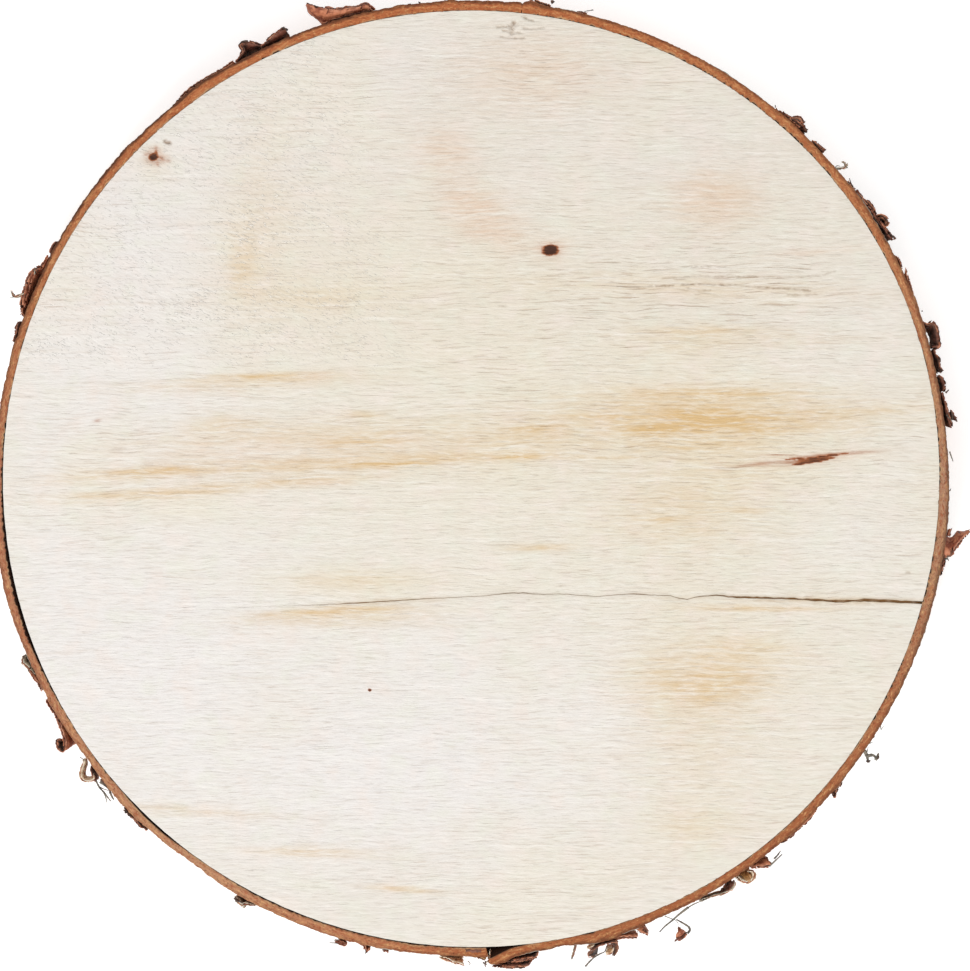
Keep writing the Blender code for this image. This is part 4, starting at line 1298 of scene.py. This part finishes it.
        "edge": [(76.0, 0.9), (76.4, 0.6), (77.2, 0.2)],
        "foot": [(76.2, 0.1), (76.5, 0.0), (77.2, 0.0)]},
    "flakeRedThird": {
        "look": "red", "top": 24.0, "low": 14.0, "thick": 0.4,
        "edge": [(47.0, 1.4), (48.0, 1.3), (49.2, 1.0)],
        "foot": [(47.2, 0.3), (48.0, 0.2), (49.2, 0.1)]},
    "scrollWestInner": {
        "look": "red", "top": 23.4, "low": 12.0, "thick": 0.4,
        "edge": [(154.6, 1.8), (155.4, 2.3), (156.6, 1.9), (157.9, 1.5), (159.0, 0.9)],
        "foot": [(154.9, 1.0), (155.5, 1.1), (156.6, 0.9), (157.9, 0.6), (159.0, 0.4)]},
    "curlWestGrey": {
        "look": "grey", "top": 24.2, "low": 19.0, "thick": 0.35,
        "edge": [(155.0, 1.6), (154.4, 1.7), (154.2, 2.3), (154.6, 2.8), (155.0, 2.5)],
        "foot": [(154.9, 1.5), (154.6, 1.7), (154.4, 2.1), (154.6, 2.4), (154.9, 2.3)]},
    "bitWest": {
        "look": "dark", "top": 24.0, "low": 15.0, "thick": 0.4,
        "edge": [(150.2, 0.5), (150.8, 0.9), (151.7, 0.6)],
        "foot": [(150.2, 0.0), (150.8, 0.1), (151.7, 0.0)]},
    "bitWestLow": {
        "look": "dark", "top": 24.2, "low": 16.0, "thick": 0.4,
        "edge": [(160.7, 0.8), (161.4, 0.9), (162.3, 0.6), (163.3, 0.7)],
        "foot": [(160.7, 0.1), (161.4, 0.2), (162.3, 0.1), (163.3, 0.1)]},
    "stripSouthwestThin": {
        "look": "red", "top": 24.4, "low": 16.0, "thick": 0.4,
        "edge": [(203.5, 1.5), (204.4, 1.2), (205.4, 0.7), (206.2, 1.1)],
        "foot": [(203.6, 0.9), (204.4, 0.5), (205.4, 0.2), (206.1, 0.7)]},
    "tipSouthwest": {
        "look": "dark", "top": 24.6, "low": 15.0, "thick": 0.5,
        "edge": [(213.2, 5.0), (212.6, 4.9), (212.2, 4.2), (212.3, 3.2)],
        "foot": [(213.0, 4.3), (212.8, 4.2), (212.6, 3.9), (212.6, 3.3)]},
    "loopSouthwestDark": {
        "look": "dark", "top": 22.8, "low": 15.0, "thick": 0.4,
        "edge": [(217.0, 0.6), (217.8, 1.5), (218.7, 2.3)],
        "foot": [(217.1, 0.1), (218.1, 0.5), (218.8, 1.6)]},
    "bitsSouthwest": {
        "look": "dark", "top": 24.0, "low": 14.0, "thick": 0.4,
        "edge": [(223.5, 0.6), (224.3, 0.9), (225.3, 0.7), (226.4, 0.9), (227.3, 0.5)],
        "foot": [(223.5, 0.0), (224.3, 0.1), (225.3, 0.0), (226.4, 0.2), (227.3, 0.1)]},
    "curlSouthThin": {
        "look": "red", "top": 24.0, "low": 17.0, "thick": 0.35,
        "edge": [(253.6, 1.9), (254.3, 2.1), (254.9, 1.9), (254.8, 0.9), (254.0, 0.8)],
        "foot": [(253.7, 1.6), (254.3, 1.6), (254.6, 1.4), (254.6, 1.0), (254.1, 0.9)]},
    "spurSouth": {
        "look": "red", "top": 24.2, "low": 16.0, "thick": 0.4,
        "edge": [(256.3, 0.1), (257.1, 0.7), (257.5, 2.6), (257.9, 1.3)],
        "foot": [(256.3, -0.1), (257.0, 0.1), (257.5, 0.6), (257.8, 0.4)]},
    "bitSouth": {
        "look": "dark", "top": 24.0, "low": 16.0, "thick": 0.4,
        "edge": [(259.3, 1.2), (259.7, 0.9), (260.1, 1.3)],
        "foot": [(259.4, 0.2), (259.7, 0.1), (260.0, 0.3)]},
    "endCurlSouth": {
        "look": "amber", "top": 24.8, "low": 10.0, "thick": 0.45,
        "edge": [(270.5, -1.6), (271.2, -1.3), (271.8, -0.7)],
        "foot": [(270.5, -2.4), (271.2, -2.4), (271.8, -2.2)]},
    "sheetSouthPale": {
        "look": "red", "top": 24.6, "low": 18.0, "thick": 0.35,
        "edge": [(274.9, -0.2), (276.3, 0.0), (277.6, 0.0)],
        "foot": [(275.0, -0.8), (276.3, -0.7), (277.6, -0.7)]},
    "sheetSouthRed": {
        "look": "red", "top": 24.7, "low": 16.0, "thick": 0.35,
        "edge": [(273.6, 1.3), (275.0, 1.8), (276.3, 2.2)],
        "foot": [(273.6, 0.8), (275.0, 1.1), (276.3, 1.3)]},
    "curlSouthUpright": {
        "look": "grey", "top": 24.2, "low": 19.0, "thick": 0.35,
        "edge": [(281.8, 4.1), (282.0, 2.9), (282.3, 1.4), (282.5, 0.0)],
        "foot": [(281.95, 4.1), (282.3, 2.9), (282.6, 1.4), (282.75, 0.0)]},
    "curlSoutheastPale": {
        "look": "red", "top": 24.4, "low": 17.0, "thick": 0.35,
        "edge": [(290.05, 0.9), (290.5, 2.1), (290.9, 3.1), (291.25, 3.9)],
        "foot": [(290.8, 0.2), (291.15, 0.8), (291.35, 2.0), (291.35, 3.3)]},
    "curlSoutheastDark": {
        "look": "dark", "top": 23.6, "low": 16.0, "thick": 0.4,
        "edge": [(290.3, 1.0), (290.8, 2.2), (291.1, 3.0)],
        "foot": [(290.8, 0.3), (291.2, 1.0), (291.3, 2.2)]},
    "flagSoutheast": {
        "look": "red", "top": 24.3, "low": 21.0, "thick": 0.35, "layers": 2,
        "edge": [(294.1, 8.3), (294.7, 8.2), (295.3, 7.7)],
        "foot": [(294.8, 5.7), (294.85, 5.5), (294.92, 5.7)]},
    "flagSoutheastTop": {
        "look": "dark", "top": 24.5, "low": 22.0, "thick": 0.35, "layers": 2,
        "edge": [(293.8, 8.9), (294.6, 9.2), (295.5, 8.3)],
        "foot": [(294.1, 8.1), (294.7, 7.8), (295.3, 7.4)]},
    "barkRaisedSoutheast": {
        "look": "dark", "top": 24.5, "low": 8.0, "thick": 0.4,
        "edge": [(310.5, 0.4), (312.0, 0.7), (313.5, 0.6), (315.0, 0.7), (316.4, 0.3)],
        "foot": [(310.5, 0.0), (312.0, 0.1), (313.5, 0.1), (315.0, 0.1), (316.4, 0.0)]},
    "knobSoutheast": {
        "look": "dark", "top": 24.0, "low": 20.0, "thick": 0.5,
        "edge": [(318.7, 1.0), (318.9, 1.8), (319.3, 1.6)],
        "foot": [(318.8, 0.9), (319.0, 1.3), (319.2, 1.2)]},
    "stepNortheast": {
        "look": "red", "top": 24.6, "low": 15.0, "thick": 0.35,
        "edge": [(26.0, 0.4), (26.8, 0.8), (27.7, 0.7)],
        "foot": [(26.0, 0.0), (26.8, 0.1), (27.7, 0.1)]},
}


def smoothPath(points, count):
    # evenly spaced points on a smooth curve through these
    dense = []
    padded = [2 * points[0] - points[1]] + points + [2 * points[-1] - points[-2]]
    for a, b, c, d in zip(padded, padded[1:], padded[2:], padded[3:]):
        for step in range(10):
            t = step / 10.0
            dense.append(0.5 * (2 * b + t * (c - a) + t * t * (2 * a - 5 * b + 4 * c - d)
                                + t ** 3 * (3 * b - a - 3 * c + d)))
    dense.append(points[-1])
    lengths = np.concatenate([[0.0], np.cumsum([(q - p).length for p, q in zip(dense, dense[1:])])])
    spread = []
    for at in np.linspace(0.0, lengths[-1], count):
        i = min(len(dense) - 2, int(np.searchsorted(lengths, at, side="right")) - 1)
        t = (at - lengths[i]) / max(1e-9, lengths[i + 1] - lengths[i])
        spread.append(dense[i].lerp(dense[i + 1], t))
    return spread, float(lengths[-1])


def barkMesh(name, vertices, faces, place, torn):
    mesh = bpy.data.meshes.new(name)
    mesh.from_pydata(vertices, [], faces)
    setValues(mesh, "barkPlace", place, "FLOAT_VECTOR")
    setValues(mesh, "tornEdgeAndHighlight", torn)
    return mesh


def headingAt(path, i):
    return (path[min(len(path) - 1, i + 1)] - path[max(0, i - 1)]).normalized()


def peelSheet(form, upper, lower, length, rows, apart, lowered, own):
    # the points of one papery layer, with their places on the bark and how near a torn edge they are, for the
    # paler edge that is partly painted highlight
    columns = len(upper) - 1
    vertices, place, torn = [], [], []
    for j in range(rows + 1):
        down = j / rows
        v = down * (form["top"] - form["low"])
        for i in range(columns + 1):
            share = i / columns
            u, ends = share * length, min(share, 1.0 - share)
            ahead = headingAt(upper, i)
            ripple = 0.18 * hum(u / 2.1, v / 3.0, own) + 0.16 * hum(u / 0.8, v / 1.6, own + 3.0)
            ripple += 0.26 * (1.0 - down) * hum(u / 0.45, v / 0.7, own + 5.0)
            fray = (0.9 * hum(v / 1.1, own * 2.0) + 0.5 * hum(v / 0.4, own)) * math.exp(-ends * 9.0)
            spot = upper[i].lerp(lower[i], down ** 0.55)
            spot = spot + Vector((ahead.y, -ahead.x, 0.0)) * (ripple + apart * (1.0 - 0.8 * down))
            spot = spot + ahead * fray * (1.0 if share > 0.5 else -1.0)
            height = form["top"] - v - lowered * (1.0 - down)
            height += (0.9 * hum(u / 1.3, own + 8.0) - 0.45) * (1.0 - down) ** 3
            height += (1.3 * hum(u / 1.7, own + 12.0) + 1.6 * (abs(share - 0.5) * 2.0) ** 3) * down ** 2
            vertices.append((spot.x * mm, spot.y * mm, min(height, topFace - 0.05) * mm))
            place.append(((u + 40.0 * own) * mm, own * mm, v * mm))
            nearness = (-ends * length / 0.3, -v / 0.35, -(1.0 - down) * 12.0)
            torn.append(math.exp(max(nearness)))
    return vertices, place, torn


def peelFaces(columns, rows, length, start, stop, own):
    # leaves out what is past the ends of the layer, and the nicks and tears along its free edges
    faces = []
    for j in range(rows):
        for i in range(columns):
            share, down = (i + 0.5) / columns, (j + 0.5) / rows
            if share < start or share > stop:
                continue
            ends = min(share - start, stop - share) * length
            nearEdge = max(math.exp(-ends / 0.7), math.exp(-down * 7.0))
            if hum(share * length / 0.8, down * 9.0, own + 20.0) > 0.86 - 0.62 * nearEdge:
                continue
            a = j * (columns + 1) + i
            faces.append((a, a + 1, a + columns + 2, a + columns + 1))
    return faces


# The look of the second layer of a strip, which shows between the others.
mates = {"red": "dark", "dark": "red", "grey": "red", "cream": "red", "amber": "dark"}


def buildPeel(name, form, seed):
    # a torn strip is two or three papery layers that have come apart
    upperEnds, lowerEnds = ([planPoint(*point) for point in form[side]] for side in ("edge", "foot"))
    _, length = smoothPath(upperEnds, 2)
    columns = max(12, min(60, int(length / 0.30)))
    rows = max(7, min(14, int((form["top"] - form["low"]) / 1.1)))
    upper, _ = smoothPath(upperEnds, columns + 1)
    lower, _ = smoothPath(lowerEnds, columns + 1)
    layers = form.get("layers", 3 if length > 5.0 else 2)
    vertices, faces, place, torn, looks = [], [], [], [], []
    for layer in range(layers):
        own = seed + 31.7 * layer
        apart = (layer - 0.5 * (layers - 1)) * 0.85 * form["thick"]
        start = 0.0 if layer != 1 else 0.10 + 0.25 * abs(hum(own, 1.0))
        stop = 1.0 if layer != 2 else 0.85 - 0.4 * abs(hum(own, 2.0))
        base = len(vertices)
        sheet = peelSheet(form, upper, lower, length, rows, apart, 0.5 * layer, own)
        for kept, added in zip((vertices, place, torn), sheet):
            kept += added
        quads = peelFaces(columns, rows, length, start, stop, own)
        faces += [tuple(base + corner for corner in quad) for quad in quads]
        looks += [2 if layer == 1 else 0] * len(quads)
    mesh = barkMesh(name, vertices, faces, place, torn)
    mesh.polygons.foreach_set("material_index", looks)
    loose = bmesh.new()
    loose.from_mesh(mesh)
    bmesh.ops.delete(loose, geom=[corner for corner in loose.verts if not corner.link_faces], context="VERTS")
    loose.to_mesh(mesh)
    loose.free()
    mesh.shade_smooth()
    look = form["look"]
    piece = addPiece(name, mesh, peelMaterials[look] + peelMaterials[mates[look]])
    thicken = piece.modifiers.new("thickness", "SOLIDIFY")
    thicken.thickness = 0.45 * form["thick"] * mm
    thicken.offset = 0.0
    thicken.material_offset = 1
    if "node" in form:
        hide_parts(form["node"])


for number, (name, form) in enumerate(peels.items()):
    buildPeel(name, form, 1.0 + 1.7 * number)
print("peels: %d" % len(peels))


# Fine torn fibres by their look: points as (angle, distance outside the bark, height), and how thick it is.
fibres = {
    "grey": [
        ([(3.3, 0.2, 24.4), (2.8, 0.6, 24.2), (2.1, 1.2, 24.0)], 0.30),
        ([(7.7, 0.4, 24.2), (7.2, 1.2, 24.2), (7.0, 2.0, 24.0)], 0.26),
        ([(39.8, 2.9, 23.8), (39.6, 3.2, 23.6), (39.7, 2.6, 23.4)], 0.16),
        ([(40.5, 0.1, 23.6), (40.6, 0.9, 23.6), (40.3, 1.6, 23.8)], 0.20),
        ([(46.9, 3.4, 23.6), (47.4, 2.6, 23.6), (48.3, 1.6, 23.6)], 0.14),
        ([(75.4, 2.0, 23.8), (75.8, 1.5, 24.0), (76.4, 0.8, 24.2)], 0.22),
        ([(158.2, 4.9, 23.6), (158.5, 5.5, 23.4), (158.4, 6.0, 23.4)], 0.16),
        ([(215.4, 1.2, 23.0), (215.8, 0.8, 23.2), (216.3, 0.2, 23.4)], 0.18),
        ([(218.8, 1.6, 23.6), (219.6, 2.0, 23.8), (220.5, 2.0, 23.9), (221.3, 2.8, 23.6),
          (221.6, 3.3, 23.4)], 0.34),
        ([(220.3, 1.9, 23.8), (221.0, 2.0, 23.6), (221.8, 2.1, 23.4)], 0.36),
        ([(219.2, 0.9, 23.4), (219.8, 0.4, 23.6), (220.4, 0.1, 23.6)], 0.46),
        ([(220.8, 0.3, 23.6), (221.4, 0.8, 23.6), (221.9, 1.1, 23.4)], 0.46),
        ([(219.6, 1.9, 23.8), (220.2, 1.2, 23.8), (220.8, 0.2, 23.6)], 0.18),
        ([(253.0, 2.5, 23.6), (253.6, 2.1, 23.8), (254.2, 2.0, 23.8)], 0.16),
        ([(253.9, 1.0, 23.6), (253.5, 1.4, 23.6), (253.8, 1.8, 23.6)], 0.16),
        ([(269.6, 0.2, 24.4), (269.9, 0.9, 24.2), (269.7, 1.4, 24.0)], 0.18),
        ([(283.2, 7.3, 23.4), (283.7, 6.2, 23.6), (284.4, 4.9, 24.4), (285.2, 4.3, 24.6), (285.8, 4.1, 24.6),
          (286.2, 2.6, 24.4)], 0.34),
        ([(296.9, 0.9, 24.1), (295.6, 1.6, 24.0), (294.6, 2.4, 23.8), (293.4, 3.3, 23.6),
          (292.6, 4.3, 23.4)], 0.44),
        ([(296.4, 1.1, 24.0), (297.6, 0.8, 24.2), (298.8, 1.1, 24.2)], 0.28),
        ([(293.9, 0.2, 24.0), (294.4, 1.6, 23.8), (294.9, 3.0, 23.6), (295.0, 4.6, 23.6)], 0.16),
        ([(295.5, 8.2, 24.0), (295.9, 7.5, 23.8), (295.9, 6.4, 23.8), (295.6, 5.0, 23.8),
          (295.0, 2.7, 23.8)], 0.46),
        ([(307.6, 3.5, 24.2), (308.6, 3.3, 24.0), (309.7, 3.1, 23.8)], 0.36),
        ([(308.6, 2.6, 24.0), (309.2, 2.4, 23.8), (309.8, 2.0, 23.6)], 0.36),
        ([(325.4, 0.0, 23.8), (325.1, 1.5, 23.6), (324.8, 2.4, 23.6), (324.6, 3.2, 23.6)], 0.72),
        ([(325.0, 1.7, 23.6), (325.5, 3.0, 23.6), (325.5, 4.4, 23.6), (325.6, 5.0, 23.6)], 0.66),
        ([(325.2, 4.6, 23.6), (325.7, 4.5, 23.6), (326.1, 4.2, 23.6)], 0.62),
        ([(324.9, 1.2, 23.6), (325.5, 0.9, 23.8), (326.0, 0.4, 24.0)], 0.20),
        ([(326.4, 0.0, 24.2), (326.7, 0.5, 24.0), (326.9, 0.9, 23.8)], 0.16),
        ([(328.9, 0.1, 24.2), (328.6, 0.8, 24.0), (329.1, 0.9, 23.8)], 0.18),
        ([(350.4, 0.6, 24.0), (350.5, 1.5, 24.0), (350.3, 2.0, 23.8)], 0.30),
        ([(350.5, 1.3, 24.0), (350.8, 1.6, 23.8), (350.8, 2.4, 23.6)], 0.26),
        ([(189.6, 0.2, 24.4), (190.4, 1.2, 24.2), (190.8, 1.4, 24.0)], 0.16),
    ],
    "dark": [
        ([(7.0, 1.8, 23.6), (7.5, 2.2, 23.6), (8.0, 2.0, 23.6)], 0.42),
        ([(10.3, 1.2, 23.6), (10.5, 2.0, 23.6), (10.6, 2.4, 23.4)], 0.34),
        ([(20.4, 0.7, 23.8), (20.5, 1.0, 23.8)], 0.30),
        ([(12.9, 1.2, 23.6), (13.0, 1.8, 23.4)], 0.40),
        ([(14.3, 1.2, 23.6), (14.4, 2.0, 23.6)], 0.40),
        ([(29.5, 2.9, 24.0), (29.9, 2.5, 24.0), (30.4, 1.9, 24.0)], 0.42),
        ([(37.4, 0.7, 24.0), (38.0, 0.9, 24.0), (38.5, 1.5, 23.8)], 0.28),
        ([(50.7, 0.5, 24.0), (50.9, 1.1, 23.8)], 0.22),
        ([(80.2, 1.5, 23.8), (80.5, 2.2, 23.8)], 0.75),
        ([(92.0, 0.2, 24.2), (92.9, 0.5, 24.2), (93.2, 0.4, 24.2)], 0.30),
        ([(96.1, 0.1, 24.2), (96.3, 0.6, 24.0)], 0.34),
        ([(97.2, 0.1, 24.2), (97.6, 0.3, 24.0)], 0.26),
        ([(112.2, 2.2, 23.8), (112.5, 3.2, 23.8), (112.7, 3.7, 23.8)], 0.46),
        ([(117.0, 4.4, 23.4), (117.6, 5.0, 23.4), (118.1, 4.7, 23.4)], 0.44),
        ([(154.3, 1.2, 23.8), (154.1, 1.9, 23.6), (154.4, 2.6, 23.6)], 0.30),
        ([(201.5, 1.1, 23.8), (201.9, 1.5, 23.8)], 0.42),
        ([(223.4, 0.2, 24.0), (224.4, 0.7, 23.8), (225.2, 0.4, 23.8)], 0.26),
        ([(240.5, 1.4, 23.6), (241.0, 1.8, 23.6), (241.7, 1.5, 23.6)], 0.46),
        ([(257.5, 2.4, 23.8), (257.4, 2.9, 23.6)], 0.30),
        ([(303.0, 1.0, 24.0), (303.3, 0.7, 24.0)], 0.46),
        ([(324.7, 2.8, 23.6), (324.5, 3.3, 23.6)], 0.95),
        ([(325.6, 4.6, 23.6), (325.6, 5.2, 23.6)], 0.95),
        ([(271.75, -0.4, 24.0), (271.65, 0.6, 23.8), (271.7, 1.4, 23.6)], 0.36),
        ([(271.4, 0.1, 24.0), (271.9, 0.7, 23.8)], 0.28),
        ([(219.0, 0.1, 24.4), (220.0, 0.0, 24.4), (221.0, 0.1, 24.4)], 0.40),
        ([(327.2, 0.0, 24.2), (327.5, 0.3, 24.0)], 0.20),
        ([(358.6, 0.1, 24.2), (358.9, 0.5, 24.0)], 0.20),
    ],
}


def buildFibres(look, lines):
    # thin tapering tubes, six sides round
    sides = 6
    name = look + "Fibres"
    vertices, faces, place, torn = [], [], [], []
    for number, (line, thick) in enumerate(lines):
        points = [planPoint(a, out, min(z, topFace - 0.4)) for a, out, z in line]
        path, _ = smoothPath(points, 4 + 3 * len(points))
        last = len(path) - 1
        base = len(vertices)
        for i, spot in enumerate(path):
            ahead = headingAt(path, i)
            across = ahead.cross(Vector((0.0, 0.0, 1.0))).normalized()
            upward = across.cross(ahead)
            size = 0.85 * thick * (1.0 - 0.55 * (i / last) ** 1.5) * (1.0 + 0.35 * hum(i * 0.8, number * 3.1))
            for side in range(sides):
                turn = 2.0 * math.pi * side / sides
                corner = spot + (across * math.cos(turn) + upward * math.sin(turn)) * size
                vertices.append(corner * mm)
                place.append(((i * 0.4 + number * 9.0) * mm, side * 0.1 * mm, number * mm))
                # a little of the paler edge colour and painted highlight
                torn.append(0.3)
        for i in range(last):
            for side in range(sides):
                a, b = base + i * sides + side, base + i * sides + (side + 1) % sides
                faces.append((a, b, b + sides, a + sides))
        faces.append([base + side for side in reversed(range(sides))])
        faces.append([base + last * sides + side for side in range(sides)])
    mesh = barkMesh(name, vertices, faces, place, torn)
    mesh.shade_smooth()
    addPiece(name, mesh, [peelMaterials[look][1]])


for look, lines in fibres.items():
    buildFibres(look, lines)
print("fibres built")


studio = {
    "floorSize": 6.0,
    "floorDrop": 0.0002,
    "floorColour": (0.90, 0.90, 0.90, 1.0),
    "floorGlow": 0.35,
    "white": (1.0, 1.0, 1.0, 1.0),
    "sky": 0.78,
    # power, size and place of each lamp, which looks at the slice
    "lamps": {
        "overhead": (11.0, 2.2, (0.0, 0.0, 2.6)),
        "key": (30.0, 0.80, (-0.90, -1.90, 1.75)),
    },
    "lens": 130.0,
    "sensorWidth": 36.0,
    "viewWidth": 0.3047,
    "viewMiddle": (0.00437, -0.00198),
}


def buildFloor(look):
    half = look["floorSize"] / 2.0
    mesh = bpy.data.meshes.new("studioFloor")
    corners = [(-half, -half, 0.0), (half, -half, 0.0), (half, half, 0.0), (-half, half, 0.0)]
    mesh.from_pydata(corners, [], [(0, 1, 2, 3)])
    material, tree, shader = newMaterial("paleFloor", 0.9, 0.1)
    shader.inputs["Base Color"].default_value = look["floorColour"]
    shader.inputs["Emission Color"].default_value = look["white"]
    shader.inputs["Emission Strength"].default_value = look["floorGlow"]
    mesh.materials.append(material)
    floor = bpy.data.objects.new("studioFloor", mesh)
    floor.location.z = -look["floorDrop"]
    bpy.context.scene.collection.objects.link(floor)


def buildLight(look):
    world = bpy.data.worlds.new("softSky")
    world.use_nodes = True
    world.node_tree.nodes["Background"].inputs["Color"].default_value = look["white"]
    world.node_tree.nodes["Background"].inputs["Strength"].default_value = look["sky"]
    bpy.context.scene.world = world
    for name, (power, size, place) in look["lamps"].items():
        data = bpy.data.lights.new(name, "AREA")
        data.shape = "DISK"
        data.size = size
        data.energy = power
        lamp = bpy.data.objects.new(name, data)
        lamp.location = place
        lamp.rotation_euler = (-Vector(place)).to_track_quat("-Z", "Y").to_euler()
        bpy.context.scene.collection.objects.link(lamp)


def buildCamera(look):
    data = bpy.data.cameras.new("camera")
    data.lens = look["lens"]
    data.sensor_width = look["sensorWidth"]
    data.clip_start = 0.05
    camera = bpy.data.objects.new("camera", data)
    distance = look["viewWidth"] * look["lens"] / look["sensorWidth"]
    camera.location = (*look["viewMiddle"], topFace * mm + distance)
    bpy.context.scene.collection.objects.link(camera)
    bpy.context.scene.camera = camera
    bpy.context.scene.view_settings.view_transform = "Standard"
    print("studio: camera %.3f m above the slice" % distance)


buildFloor(studio)
buildLight(studio)
buildCamera(studio)
